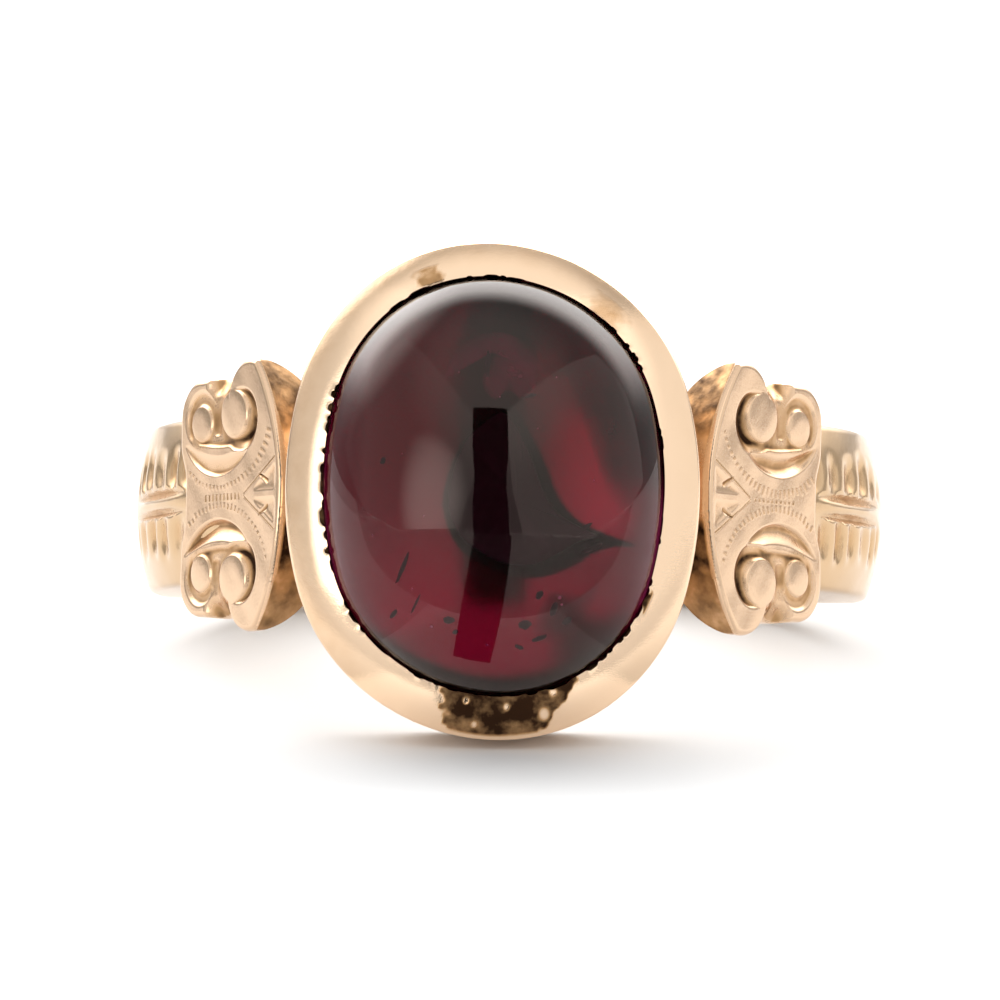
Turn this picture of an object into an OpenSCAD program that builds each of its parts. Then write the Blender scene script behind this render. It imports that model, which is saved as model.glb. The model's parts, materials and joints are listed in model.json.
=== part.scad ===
// Cabochon garnet ring. A domed oval stone sits in a heavy rub-over collet, between two
// shoulders carved with scrolls, on a shank with a leaf cut into each side.
// Everything is modelled stone up: x across the ring, y along the finger, z from the
// finger's axis to the stone. The finished ring is then laid on its side, and rests on
// the lower rim of the collet and on two places of the shank's lower edge at the back.

/* [Finger hole] */
// Inside diameter of the ring
finger_d = 17.8; // [17.4:0.1:18.2]

/* [Shank] */
// Thickness at the two sides, on the crest
side_t = 1.85; // [1.7:0.05:2]
// Thickness at the back, on the crest
back_t = 1.55; // [1.3:0.05:1.7]
// Width from the shoulders to the two sides
side_w = 4.74; // [4.4:0.02:5]
// Width at the back
back_w = 3; // [2.6:0.1:3.4]
// Radius of the rounded outer face, across the width
crown_r = 6.4; // [5.5:0.1:8]

/* [Collet] */
// Length of the collet, along the finger
collet_l = 13.94; // [13.8:0.02:14.2]
// Width of the collet
collet_w = 11.6; // [11.5:0.02:11.7]
// Radius of the collet's two ends
end_r = 5.63; // [5.5:0.01:5.68]
// Height of the collet's underside above the finger's axis
collet_base = 9.3; // [9.2:0.05:9.4]
// Height of the collet's widest line above the finger's axis
collet_edge = 11.8; // [11.6:0.05:11.9]
// Height of the rubbed-over lip above the finger's axis
collet_lip = 12.5; // [12.4:0.05:12.6]
// How far the wall leans in from its widest line to its underside
wall_lean = 0.35; // [0.2:0.05:0.4]
// Width of the rubbed-over band, seen from above
band_w = 1.03; // [1:0.01:1.06]

/* [Stone] */
// Height of the stone's dome above its girdle
dome_h = 4.1; // [3.8:0.1:4.4]
// Height of the upright girdle
girdle_h = 1; // [0.9:0.05:1.1]
// Play between the stone and the metal
play = 0.05; // [0.04:0.01:0.06]

/* [Shoulders] */
// Slope of the carved plate, down from the level
plate_slope = 54.5; // [53:0.5:56]
// Half the distance between the two plates' upper edges
plate_x = 6.06; // [6:0.02:6.12]
// Height of the plates' upper edges above the finger's axis
plate_z = 10.5; // [10.4:0.05:10.6]
// Depth of the ground cut away inside each scroll
ground_d = 0.3; // [0.2:0.02:0.36]
// Further depth of the crescent gouge at the bottom of each scroll
gouge_d = 0.16; // [0.08:0.02:0.2]

/* [Hidden] */
gold_colour = [0.86, 0.68, 0.52];
garnet_colour = [0.32, 0.03, 0.07];
$fn = 180;
far = 40;

// The shank: its outer circle is set towards the stone, so that the back is thinner.
finger_r = finger_d / 2;
shank_r = finger_r + side_t;
shank_shift = side_t - back_t;
flank_r = (shank_r ^ 2 + ((side_w - back_w) / 2) ^ 2) / (side_w - back_w);
crown_steps = 12;
flank_steps = 8;
function crown_drop(y) = crown_r - sqrt(crown_r ^ 2 - y ^ 2);

// The collet's outline is an oval of four arcs, two end arcs and two side arcs.
end_y = collet_l / 2 - end_r;
side_r = (end_y ^ 2 + (collet_w / 2) ^ 2 - end_r ^ 2) / (collet_w - 2 * end_r);
side_x = side_r - collet_w / 2;
turn = atan(end_y / side_x);

// The rubbed-over band: the break of its outer edge, and the thickness of its lip.
edge_break = 0.12;
lip_t = 0.14;
band_steps = 5;
lip_steps = 3;

// The stone sits on the floor of the collet, and its dome passes through the lip.
floor_t = 0.75;
back_inset = 0.15;
stone_base = collet_base + floor_t + play;
girdle_top = stone_base + girdle_h;
stone_inset = 0.8;
wall_inset = stone_inset - play;
stone_seg = 60;
dome_rings = 10;
bevel = 0.2;

// One scroll of the shoulder plate, in the plate's plane: u down the plate from its upper
// edge, v along the finger. Each row is a circle: u, v, radius. The bridge joins the two
// curls above the bowl, and its row is u, v and its size along each.
edge_r = 6;
plate_end = 5.1;
plate_half = 2.7;
scroll_lobes = [
    [1.7, 2.72, 1.13], // upper lobe
    [3.56, 2.5, 0.92], // lower lobe, inner part
    [4.3, 2.3, 1.06], // lower lobe, outer part
    [4.1, 1.6, 1.25], // bulge at the end of the plate
];
scroll_bowl = [3.1, 2.42, 1.92];
upper_eye = [2.46, 2.35, 0.68];
lower_eye = [4.23, 2.2, 0.55];
upper_curl = [2.05, 2.3, 0.87];
lower_curl = [4.15, 2.25, 0.76];
gouge_inner = [3.2, 2.98, 1.9];
bowl_top = 2.35;
bridge = [2.6, 2.75, 1.2, 1];

// Section of a shoulder: the rounded underside of its wings, and the root between them,
// which ends a little inside the shank's sides. The block is cut deeper than the shank.
wing_v = 2.2;
wing_t = 1.67;
root_inset = 0.06;
root_v = side_w / 2 - root_inset;
block_t = 4.5;
cut_h = 1;

// The leaf cut into each side of the shank. Each row is one gouge: its angle from the
// stone, its slant, and its two ends along the finger.
leaf_gouges = [
    [63, 20, 0.45, 1.85],
    [70, 16, 0.4, 1.75],
    [77, 12, 0.35, 1.5],
    [84, 8, 0.3, 1.15],
];
gouge_r = 0.7;
gouge_cut = 0.2;
vein_cut_r = 0.16;
vein_y = 0.16;
vein_from = 58;
vein_to = 90;

// How the ring lies: a line from the collet's lower rim that touches the lower edge of the
// shank's back half. Each row of back_edge is a point of that edge: y below the middle, z.
foot_y = collet_l / 2 - wall_lean;
back_edge = [
    for (a = [120:2:180])
        let (w = half_width(shank_shift + shank_r * cos(a)))
        [w, shank_shift + (shank_r - crown_drop(w)) * cos(a)]
];
tilt = min([for (p = back_edge) atan((foot_y - p[0]) / (collet_base - p[1]))]);
lift = foot_y * cos(tilt) - collet_base * sin(tilt);
stone_l = collet_l - 2 * stone_inset;
front_reach = girdle_top * cos(tilt) + norm([dome_h * cos(tilt), stone_l / 2 * sin(tilt)]);
rear_y = min(back_w / 2, crown_r * sin(tilt));
rear_reach = (shank_r - shank_shift - crown_drop(rear_y)) * cos(tilt) + rear_y * sin(tilt);

// Lays the stone-up ring on its side, centred over the origin, stone to the front.
module laid() {
    translate([0, (front_reach - rear_reach) / 2, lift])
        rotate([90 - tilt, 0, 0])
            children();
}

module disc(circle_row) {
    translate([circle_row[0], circle_row[1]]) circle(r = circle_row[2]);
}

module both_ways() {
    children();
    mirror([0, 1, 0]) children();
}

// Sweeps a profile round the oval: x outwards from the collet's widest line, y up.
module round_the_oval() {
    for (half = [0, 180]) rotate(half) {
        translate([0, end_y, 0])
            rotate(turn)
                rotate_extrude(angle = 180 - 2 * turn) translate([end_r, 0]) children();
        translate([-side_x, 0, 0])
            rotate(-turn)
                rotate_extrude(angle = 2 * turn) translate([side_r, 0]) children();
    }
}

// Inner face of the lip: it follows the stone's dome, one play clear of it.
function lip_inner(z) =
    let (rise = max(0, z - girdle_top) / dome_h)
    collet_w / 2 - (collet_w / 2 - stone_inset) * sqrt(1 - rise ^ 2) - play;

// Section of the collet's wall, from its underside up over the rounded band to the lip,
// and down again inside, round the stone.
module collet_wall_profile() {
    band_low = collet_edge + edge_break;
    rubbed = [
        for (k = [0:band_steps]) let (s = k / band_steps)
            [-edge_break / 2 - (band_w - edge_break) * s, band_low + (collet_lip - band_low) * sin(90 * s)]
    ];
    inner = [
        for (k = [0:lip_steps])
            let (z = collet_lip - lip_t - k * (collet_lip - lip_t - girdle_top) / (lip_steps + 1))
            [-min(lip_inner(z), band_w), z]
    ];
    polygon(concat(
        [[-wall_lean, collet_base], [0, collet_edge]],
        rubbed,
        inner,
        [[-wall_inset, girdle_top], [-wall_inset, collet_base]]
    ));
}

// Floor under the stone. It ends inside the wall's thickness, and its back is let in a
// little above the wall's rim.
module collet_floor() {
    inset = (wall_inset + wall_lean) / 2;
    plate_t = floor_t - back_inset;
    translate([0, 0, collet_base + back_inset]) {
        both_ways() translate([0, end_y, 0]) cylinder(r = end_r - inset, h = plate_t);
        translate([-(collet_w / 2 - inset), -end_y, 0]) cube([collet_w - 2 * inset, 2 * end_y, plate_t]);
    }
}

module collet() {
    round_the_oval() collet_wall_profile();
    collet_floor();
}

// Domed band round the finger hole, narrowed towards the back.
module shank() {
    crown = [
        for (k = [0:crown_steps])
            let (y = side_w * (k / crown_steps - 0.5))
            [shank_r - crown_drop(y), y]
    ];
    inside = finger_r - 2 * shank_shift;
    intersection() {
        translate([0, 0, shank_shift])
            rotate([90, 0, 0])
                rotate_extrude()
                    polygon(concat([[inside, -side_w / 2]], crown, [[inside, side_w / 2]]));
        shank_flanks();
    }
}

// Half the shank's width at a height z: even down to the finger's axis, then a long arc.
function half_width(z) = side_w / 2 - flank_r + sqrt(flank_r ^ 2 - min(z, 0) ^ 2);

// Side view of the shank, which ends inside the floor of the collet.
module shank_flanks() {
    heights = concat([collet_base + floor_t / 2], [for (k = [0:flank_steps]) -(shank_r + 1) * k / flank_steps]);
    near = [for (z = heights) [half_width(z), z]];
    opposite = [for (k = [len(heights) - 1:-1:0]) [-half_width(heights[k]), heights[k]]];
    rotate([90, 0, 90])
        translate([0, 0, -far / 2])
            linear_extrude(far)
                polygon(concat(near, opposite));
}

// One gouge of the leaf: a round-bottomed cut along the rounded face of the shank.
module leaf_gouge(angle, slant, y_from, y_to) {
    rotate([0, angle, 0])
        translate([0, 0, shank_r - crown_r])
            rotate([-asin((y_from + y_to) / 2 / crown_r), 0, 0])
                translate([0, 0, crown_r + gouge_r - gouge_cut])
                    rotate([90, 0, slant])
                        cylinder(r = gouge_r, h = y_to - y_from, center = true);
}

// Leaf gouges and the two cuts that leave the vein standing, on the right-hand side.
module leaf_cuts() {
    translate([0, 0, shank_shift])
        both_ways() {
            for (g = leaf_gouges) leaf_gouge(g[0], g[1], g[2], g[3]);
            translate([0, vein_y, 0])
                rotate([90, 0, 0])
                    rotate(90 - vein_to)
                        rotate_extrude(angle = vein_to - vein_from)
                            translate([shank_r, 0])
                                circle(r = vein_cut_r);
        }
}

// Plan of the plate: two pairs of lobes, cut to a shallow arc beside the collet.
module plate_plan() {
    intersection() {
        translate([edge_r, 0]) circle(r = edge_r);
        union() {
            translate([0, -plate_half]) square([plate_end, 2 * plate_half]);
            both_ways() for (lobe = scroll_lobes) disc(lobe);
        }
    }
}

// Ground of one scroll: the bowl and the two curls, round the eyes that stay standing.
module scroll_ground() {
    difference() {
        union() {
            intersection() {
                disc(scroll_bowl);
                square([plate_end * 2, bowl_top]);
            }
            disc(upper_curl);
            disc(lower_curl);
        }
        disc(upper_eye);
        disc(lower_eye);
        translate([bridge[0], bridge[1]]) square([bridge[2], bridge[3]]);
    }
}

module scroll_gouge() {
    difference() {
        intersection() {
            disc(scroll_bowl);
            square([plate_end * 2, bowl_top]);
        }
        disc(gouge_inner);
        disc(upper_eye);
        disc(lower_eye);
    }
}

// Section of the shoulder across the finger: rounded wings over a root as wide as the shank.
module shoulder_section() {
    both_ways() translate([0, wing_v]) circle(r = wing_t);
    translate([-wing_t, -wing_v]) square([2 * wing_t, 2 * wing_v]);
    translate([-block_t - cut_h, -root_v]) square([block_t + cut_h, 2 * root_v]);
}

// One shoulder in its own frame: x down the plate, y along the finger, z out of it.
module shoulder_block() {
    difference() {
        intersection() {
            translate([0, 0, -block_t]) linear_extrude(block_t) plate_plan();
            rotate([0, 90, 0])
                mirror([1, 0, 0])
                    translate([0, 0, -cut_h]) linear_extrude(2 * plate_end) shoulder_section();
        }
        both_ways() {
            translate([0, 0, -ground_d]) linear_extrude(cut_h) scroll_ground();
            translate([0, 0, -ground_d - gouge_d]) linear_extrude(cut_h) scroll_gouge();
        }
    }
}

module shoulder() {
    translate([plate_x, 0, plate_z]) rotate([0, plate_slope, 0]) shoulder_block();
}

module finger_hole() {
    rotate([90, 0, 0]) cylinder(r = finger_r, h = far, center = true);
}

module gold_mount() {
    color(gold_colour)
        laid()
            difference() {
                union() {
                    shank();
                    collet();
                    shoulder();
                    mirror([1, 0, 0]) shoulder();
                }
                leaf_cuts();
                mirror([1, 0, 0]) leaf_cuts();
                finger_hole();
            }
}

// Distance from the oval's centre to a line one inset inside it, in the direction t.
function oval_r(t, inset) =
    let (
        c = abs(cos(t)),
        s = abs(sin(t)),
        reach = end_r - inset,
        joint = atan2(end_y + reach * sin(turn), reach * cos(turn))
    )
    atan2(s, c) < joint
        ? sqrt((side_r - inset) ^ 2 - (side_x * s) ^ 2) - side_x * c
        : end_y * s + sqrt(reach ^ 2 - (end_y * c) ^ 2);

// Stone profile from the bevelled base to the dome: share of the outline, height.
stone_profile = concat(
    [[1 - bevel / (collet_w / 2 - stone_inset), stone_base], [1, stone_base + bevel]],
    [for (k = [0:dome_rings - 1]) let (a = 90 * k / dome_rings) [cos(a), girdle_top + dome_h * sin(a)]]
);

module garnet() {
    rows = len(stone_profile);
    points = concat(
        [[0, 0, stone_base]],
        [
            for (p = stone_profile) for (i = [0:stone_seg - 1])
                let (t = 360 * i / stone_seg, r = oval_r(t, stone_inset) * p[0])
                [r * cos(t), r * sin(t), p[1]]
        ],
        [[0, 0, girdle_top + dome_h]]
    );
    top = len(points) - 1;
    function at(row, i) = 1 + row * stone_seg + i % stone_seg;
    faces = concat(
        [for (i = [0:stone_seg - 1]) [0, at(0, i), at(0, i + 1)]],
        [for (r = [0:rows - 2]) for (i = [0:stone_seg - 1]) [at(r, i), at(r + 1, i), at(r + 1, i + 1)]],
        [for (r = [0:rows - 2]) for (i = [0:stone_seg - 1]) [at(r, i), at(r + 1, i + 1), at(r, i + 1)]],
        [for (i = [0:stone_seg - 1]) [top, at(rows - 1, i + 1), at(rows - 1, i)]]
    );
    color(garnet_colour) laid() polyhedron(points = points, faces = faces);
}

gold_mount();
garnet();
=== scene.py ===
"""Finished surfaces of a cabochon garnet ring, built over its CAD frame.

All shapes are worked out in the stone-up ring: x across the ring, y along the finger and
z from the finger's axis to the stone, in millimetres. ring_place() then lays them in the
row frame, in metres.
"""

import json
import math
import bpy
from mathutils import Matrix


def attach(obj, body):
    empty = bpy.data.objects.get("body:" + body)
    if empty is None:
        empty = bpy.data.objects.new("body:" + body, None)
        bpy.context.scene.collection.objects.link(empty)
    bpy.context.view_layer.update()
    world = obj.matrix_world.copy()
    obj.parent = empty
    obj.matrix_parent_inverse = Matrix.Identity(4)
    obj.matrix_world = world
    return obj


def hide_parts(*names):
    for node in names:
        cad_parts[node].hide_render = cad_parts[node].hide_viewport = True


bl_info = {
    "name": "Garnet Ring",
    "version": (1, 0, 0),
    "blender": (4, 5, 0),
    "location": "View3D > Sidebar > Garnet Ring",
    "description": "Builds the carved gold mount and the domed garnet of a ring",
    "category": "Add Mesh",
}

from types import SimpleNamespace

import bpy
import numpy as np
from bpy.props import FloatProperty, FloatVectorProperty, PointerProperty
from mathutils import Matrix, Vector
from mathutils.geometry import delaunay_2d_cdt

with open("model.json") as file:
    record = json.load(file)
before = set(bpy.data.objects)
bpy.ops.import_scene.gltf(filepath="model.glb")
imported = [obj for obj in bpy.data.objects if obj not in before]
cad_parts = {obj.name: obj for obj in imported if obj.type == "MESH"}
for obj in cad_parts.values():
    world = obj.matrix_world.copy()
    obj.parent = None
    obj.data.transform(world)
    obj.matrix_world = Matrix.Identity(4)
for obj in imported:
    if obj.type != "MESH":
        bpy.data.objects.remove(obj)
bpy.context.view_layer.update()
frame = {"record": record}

MM = 0.001
BODY = "root"
SEED = 11

# Keeps a division off nought.
TINY = 1e-6

FINGER_HOLE = next(m for m in frame["record"]["mounts"] if m["name"] == "finger_hole")
FINGER_D = 2 * FINGER_HOLE["dims"]["r_mm"]

# The carved plate of a shoulder, in its own plane: u down the plate from its upper edge,
# v along the finger, both mirrored to v below zero. A round row is u, v, radius.
LOBES = ((1.7, 2.72, 1.13), (3.56, 2.5, 0.92), (4.3, 2.3, 1.06), (4.1, 1.6, 1.25))
LOBE_BLEND = 0.22
UPPER_CURL = (2.12, 2.15, 0.95)
LOWER_CURL = (4.15, 2.2, 0.68)

# The round eyes: u, v, radius, slope of the side and depth of the face. The face of an eye
# is crowned, so that its edge lies lower than its middle.
EYES = ((2.47, 2.33, 0.67, 1.35, 0.0), (4.2, 2.12, 0.5, 1.1, 0.01))
EYE_CROWN = 0.02

# The oval of each scroll's bowl: u, v, half its length along u and along v.
BOWL = (3.3, 2.5, 2.05, 1.93)

# How each scroll is cut, by hand and so each its own way. The key is the side of the ring,
# 1 on the right, and the half of the plate, 1 above. low is where across the crescent its
# lowest line is, near the length of the marks beside the collet, waist that at the waist.
SCROLLS = {
    (1, 1): SimpleNamespace(low=0.5, depth=0.2, near=0.13, waist=0.3),
    (1, -1): SimpleNamespace(low=0.22, depth=0.17, near=0.16, waist=0.24),
    (-1, 1): SimpleNamespace(low=0.15, depth=0.13, near=0.36, waist=0.16),
    (-1, -1): SimpleNamespace(low=0.25, depth=0.24, near=0.1, waist=0.2),
}

# The sunk ground between the two curls: from and to along u, to along v, and its soft edge.
GROUND = (1.7, 4.35, 2.4)
GROUND_BLEND = 0.1

# Zones with a slope at each side: from u, slope, to u, slope, from v, slope. The valley runs
# between the two eyes, and the notch falls from it to the outline, between two lobes.
VALLEY = (2.85, 0.55, 3.98, 0.55, 1.55, 0.3)
NOTCH = (2.7, 0.45, 4.0, 0.5, 2.6, 0.75)
NOTCH_DEPTH = 0.42

# Groove that runs round the lower curl: u, v, radius, from and to in degrees, half width, depth.
LOWER_RING = (4.17, 2.22, 0.64, -70, 168, 0.19, 0.11)

# How dark the grime and the painted shade are in each place of the carving: dip and deep
# are painted shade in hollows and on low ground; cut, ledge and ring are grime and painted
# shade in the cuts, along the step and round the eyes.
GRIME_AND_SHADE_WEIGHTS = SimpleNamespace(dip=0.42, deep=0.3, cut=0.5, ledge=0.22, ring=0.2)

# Grime and painted shade along the step beside the curls: from and to along u, how softly it
# ends, how far from the step it lies and how wide it is to each side.
LEDGE_GRIME_AND_SHADE = (1.5, 4.9, 0.5, 0.12, 0.13)

# Grime and painted shade round the eyes: how far from the eye it lies and how wide it is to
# each side.
EYE_GRIME_AND_SHADE = (0.17, 0.12)

# Height of the waviness that handwork left on the plates, and on the shank and the collet.
PLATE_WAVE = 0.014
BAND_WAVE = 0.012

# Where the shoulders sit on the shank: how far their root stays inside the shank's sides, and
# how far above the finger hole it ends.
ROOT_INSET = 0.06
ROOT_ABOVE_BORE = 0.4

# Tapered cuts in the plate. A row is the two ends, each as u, v, half width, and the depth.
DIAMOND_LINE = ((0.3, 1.02, 0.035), (1.9, 0.04, 0.03), 0.05)
DIAMOND_THORN = ((0.72, 0.36, 0.12), (1.08, 0.56, 0.03), 0.14)

# Stretches of worn lip: from and to, in degrees round the stone, and the share of the full depth.
WORN_LIP = (
    (14, 20, 0.35), (38, 60, 0.6), (84, 100, 0.35), (112, 124, 0.5), (150, 206, 1.0),
    (218, 240, 0.6), (246, 292, 0.5), (300, 334, 0.8), (343, 349, 0.4),
)

# Painted dark reflections on the collet's band: from and to in degrees, how much each side
# widens towards the lip, where it starts and ends from edge to lip, how soft its sides are and
# how dark it is.
BAND_DARK_REFLECTIONS = (
    (259.5, 281.5, (5, 14), 0.03, 1.1, 1.4, 1.0),
    (103, 112, (0, 0), 0.4, 0.95, 3.0, 0.6),
    (48, 66, (0, 0), 0.3, 1.0, 8.0, 0.32),
    (321, 329, (0, 0), 0.8, 1.1, 2.0, 0.9),
)

# Bright spots left in the painted dark reflections: degrees, place from edge to lip, reach in
# degrees.
BRIGHT_SPOTS = ((283.5, 0.45, 1.4), (274, 0.75, 0.8), (266, 0.3, 0.7), (287, 0.9, 1.1), (263, 0.82, 0.9))

# Faults and a painted reflection inside the stone, as they show through the dome: x and y of
# each outline's points. The first is a dark sheet that stands in for a dark reflection inside
# the stone.
DARK_REFLECTION_SHEET = (
    (-0.26, 1.88), (-0.79, 1.35), (-1.15, 0.25), (-1.18, -0.65), (-0.86, -1.3), (-0.25, -1.72),
    (0.43, -2.02), (1.15, -2.08), (1.8, -1.86), (2.4, -1.52), (3.0, -1.36), (2.55, -1.1),
    (1.9, -0.7), (1.46, -0.03), (1.12, 0.94), (0.72, 1.77), (0.28, 2.18),
)
RIGHT_VEIL = (
    (2.1, 3.5), (2.5, 2.2), (2.9, 1.0), (3.25, 0.1), (3.65, -0.5), (4.2, -0.7), (4.75, 0.2),
    (4.7, 1.6), (4.25, 3.0), (3.4, 4.2), (2.4, 4.6),
)
LOWER_VEIL = (
    (1.6, -3.0), (2.0, -2.8), (2.7, -2.9), (3.2, -2.6), (3.0, -3.3), (2.4, -4.0), (1.7, -4.3),
    (1.3, -4.0),
)
UPPER_ARC = (
    (-1.35, 3.2), (-1.05, 3.95), (-0.4, 4.38), (0.3, 4.48), (1.0, 4.15), (1.55, 3.35), (1.42, 3.35),
    (0.9, 3.98), (0.25, 4.28), (-0.38, 4.2), (-0.93, 3.8), (-1.22, 3.15),
)
UPPER_PATCH = (
    (-0.1, 3.4), (0.25, 3.85), (0.85, 3.85), (1.35, 3.4), (1.3, 2.8), (0.9, 2.5), (0.5, 2.7),
    (0.1, 2.45), (-0.25, 2.9),
)

# Small dark flecks, as they show through the dome: x, y, half the length, length over width,
# turn in degrees.
FLECKS = (
    (1.5, -3.05, 0.2, 1.5, 60), (1.95, -3.45, 0.34, 2.5, 75), (1.1, -3.85, 0.25, 1.3, 10),
    (1.55, -4.3, 0.34, 3.2, 20), (0.95, -4.6, 0.2, 2.0, -30), (2.35, -3.8, 0.22, 1.6, 40),
    (-2.55, -2.3, 0.75, 9, 66), (-2.2, -3.35, 0.5, 10, 64), (-2.95, -3.75, 0.3, 3, 50),
    (3.0, -1.75, 0.5, 5, 20), (-1.2, -3.75, 0.22, 1.3, 0), (-1.0, -4.15, 0.14, 1.4, 40),
    (2.7, -1.2, 0.45, 4, 35), (-0.1, 3.5, 0.6, 6, 88), (1.1, 2.6, 0.3, 3, 10), (-3.1, 0.8, 0.16, 1.6, 70),
)

# Depth below the dome's top of the flecks, from and how much it varies, and their real size
# as a share of what the dome shows.
FLECK_DEPTH = (2.2, 1.2)
FLECK_SHARE = 0.6

# Small pale specks that stand in for small glints inside the stone, painted highlights: x, y
# and radius.
GLINTS = (
    (2.06, -3.12, 0.05), (2.1, -3.3, 0.035), (-1.65, -3.95, 0.04), (-0.02, -4.45, 0.035),
    (-1.85, -0.9, 0.022), (-2.5, 0.9, 0.02), (0.3, 2.5, 0.022), (1.4, 1.6, 0.02), (3.0, 0.2, 0.025),
    (-2.2, -2.9, 0.024), (-0.9, 3.2, 0.02), (1.9, 3.1, 0.02), (-3.3, -1.4, 0.022),
)

# Depth of the specks, from and how much it varies, and the share of it by which a speck lies
# below the dome's face.
SPECK_DEPTH = (1.0, 0.8)
SPECK_SHARE = 0.6

# A sheet inside the stone, each veil and the painted dark reflection alike: how many points its
# outline has, the shares of the outline at which its rings lie, and how solid each ring is,
# from the front's middle over the rim to the back's.
VEIL_POINTS = 96
VEIL_RINGS = (1, 0.97, 0.8, 0.6, 0.4, 0.2)
VEIL_FADE = (0.95, 0.8, 0.6, 0.35, 0.12, 0, 0.12, 0.35, 0.6, 0.8, 0.95)

# How deep the sheets lie below the dome's top: the painted dark reflection and the dim veils,
# the arc and the patch.
VEIL_DEPTH = 4.3
ARC_DEPTH = 2.4
PATCH_DEPTH = 2.2

# How much a line of sight bends at the dome, for each millimetre of depth, and half the size
# of the dome and its radii, across and along.
SIGHT_BEND = 0.432
DOME_HALF = (5, 6.2)
DOME_RADII = (6.1, 9.3)

# Engraved marks round each bowl: spacing, half width, depth, and the radius at which the
# spacing is measured.
STROKE_PITCH = 0.18
STROKE_HALF = 0.05
STROKE_DEPTH = 0.034
STROKE_RADIUS = 2.2

# The turns round the bowl, in degrees, between which they lie, and where the waist begins.
STROKE_FROM = -166
STROKE_WAIST = -100
STROKE_TO = -50

# How far they stay off the bowl at the waist, how much more beside the collet, and how much
# that varies.
STROKE_GAP = (0.24, 0.32, 0.04)

# Short bars along the middle of the waist: from, to and first along u, spacing, half width,
# depth, and half their length on each side of the ring.
BARS = SimpleNamespace(start=2.1, end=4.1, first=2.15, pitch=0.2, half=0.06, depth=0.045)
BAR_REACH = {-1: 0.12, 1: 0.07}

# The leaf on each side of the shank, along the shank from the shoulder's end: where it
# starts to taper and how long its tip is, half its width, the spacing of its bars, and the
# length, place and half width of the grooves beside its midrib.
LEAF = SimpleNamespace(
    taper=3.2, tip=3.6, half=1.75, pitch=1.02, vein_length=5.6, vein_place=0.27, vein_half=0.07
)

# Turn of the shank, in degrees from the stone, at which the shoulder ends, and the turns
# between which the leaf is cut.
SHOULDER_END = 56.5
LEAF_FROM = 53.0
LEAF_TO = 94.0

# The collet: how far its underside is sunk and how its foot is rounded, how far its outer
# edge is broken, in height and inwards, how much room it leaves under and beside the stone,
# and the open line between its lip and the stone.
BASE_SUNK = 0.15
FOOT_ROUND = 0.08
EDGE_BREAK = 0.12
EDGE_IN = 0.09
SEAT_PLAY = 0.05
LIP_GAP = 0.045

# Rows of points down the lip's inner face: how far each stands off the lip's line, its drop
# below the lip, and how dark it is painted. The lower rows are painted shade in the crevice
# between the lip and the stone.
LIP_ROWS = ((0.005, 0.015, 0.1), (0, 0.05, 0.15), (0, 0.1, 0.9), (0.01, 0.14, 1))

# Height above the collet's base at which the top of the shank is cut flat, hidden inside it.
SHANK_IN_COLLET = 0.375

# Wear of each gold: its roughness as a share of the polished gold's, how fine its scratches
# are along x, y and z, in waves to the metre, and how strong its dents are.
SHANK_WEAR = SimpleNamespace(rough=1.3, scratch=(30000, 4000, 4000), dents=0.35)
SHOULDER_WEAR = SimpleNamespace(rough=1.2, scratch=(4000, 26000, 9000), dents=0.4)
COLLET_WEAR = SimpleNamespace(rough=0.7, scratch=(9000, 9000, 30000), dents=0.3)

# Height of the gold's fine relief, in metres: pits in the grime, scratches and dents.
PITS = 0.00008
SCRATCHES = 0.00002
DENTS = 0.00004

# How fine the noise in the finishes is, in waves to the metre.
GOLD_CLOUDS = 420.0
GOLD_MOTTLE = 1500.0
GARNET_CLOUDS = 330.0
FAULT_MOTTLE = 900.0

# The garnet: how strongly it bends light, and where along the finger its painted shade starts
# and is darkest, in millimetres from its middle. The stone is painted darker towards its upper
# end and lighter below.
GARNET_IOR = 1.76
SHADED_ZONE = (-3.6, 3.4)

# The studio is laid out round a point in the stone, this far from the ring's middle, in metres.
STONE_OUT = 0.013

# Glows of the surround: azimuth and elevation seen from the stone, in degrees, and the two
# shares of that direction between which the glow rises from nothing to full.
LEFT_GLOW = (-34, -3, 0.925, 1)
TOP_GLOW = (0, 45, 0.66, 0.98)
HIGH_LEFT_GLOW = (-112, 43, 0.83, 1)

# The glow from behind and above, as the two shares for each of its two directions.
BACK_GLOW = ((0.0, 0.32), (0.22, 0.85))

# The softboxes: distance from the stone in metres, then rise, width and height as shares of
# it, power for a square metre at a brightness of one, and azimuth and roll in degrees.
SOFTBOX = SimpleNamespace(far=0.3, up=0.43, width=2, height=1.3, watts=4)
LEFT_SOFTBOX = (-54.5, -13)
RIGHT_SOFTBOX = (52.5, 6)

# The dark gap between them: distance in metres, then azimuth, half its width, its low and its
# high edge, in degrees.
GAP = SimpleNamespace(far=0.33, azimuth=-2, half=8.5, low=-20, high=30)

# Cards just above the floor: their height, the step from one to the next, and x and y of
# their corners from under the stone, in metres.
CARD_HEIGHT = 0.0001
CARD_STEP = 2e-5
FLOOR_GAP = ((-0.0021, -0.0028), (-0.056, -0.33), (0.044, -0.33), (-0.0002, -0.0028))
FRONT_SHADE = ((-2.9, -2.9), (2.9, -2.9), (2.9, -0.0075), (-2.9, -0.0075))
NEAR_FLOOR = ((-0.006, -0.0075), (0.006, -0.0075), (0.006, 0.001), (-0.006, 0.001))
BLACK = (0.004, 0.004, 0.004)

# The card that shades the far left side: its place seen from the stone and half its size.
SIDE_CARD = SimpleNamespace(azimuth=-111, elevation=2, far=0.12, half=0.075)

# Shades of cards: how far from a card's middle they start to fade, how far they reach and how
# strong they are. The front one is even all over its card.
FRONT_FADE = (10, 20, 0.36)
SIDE_FADE = (0.5, 1.0, 0.32)


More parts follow.
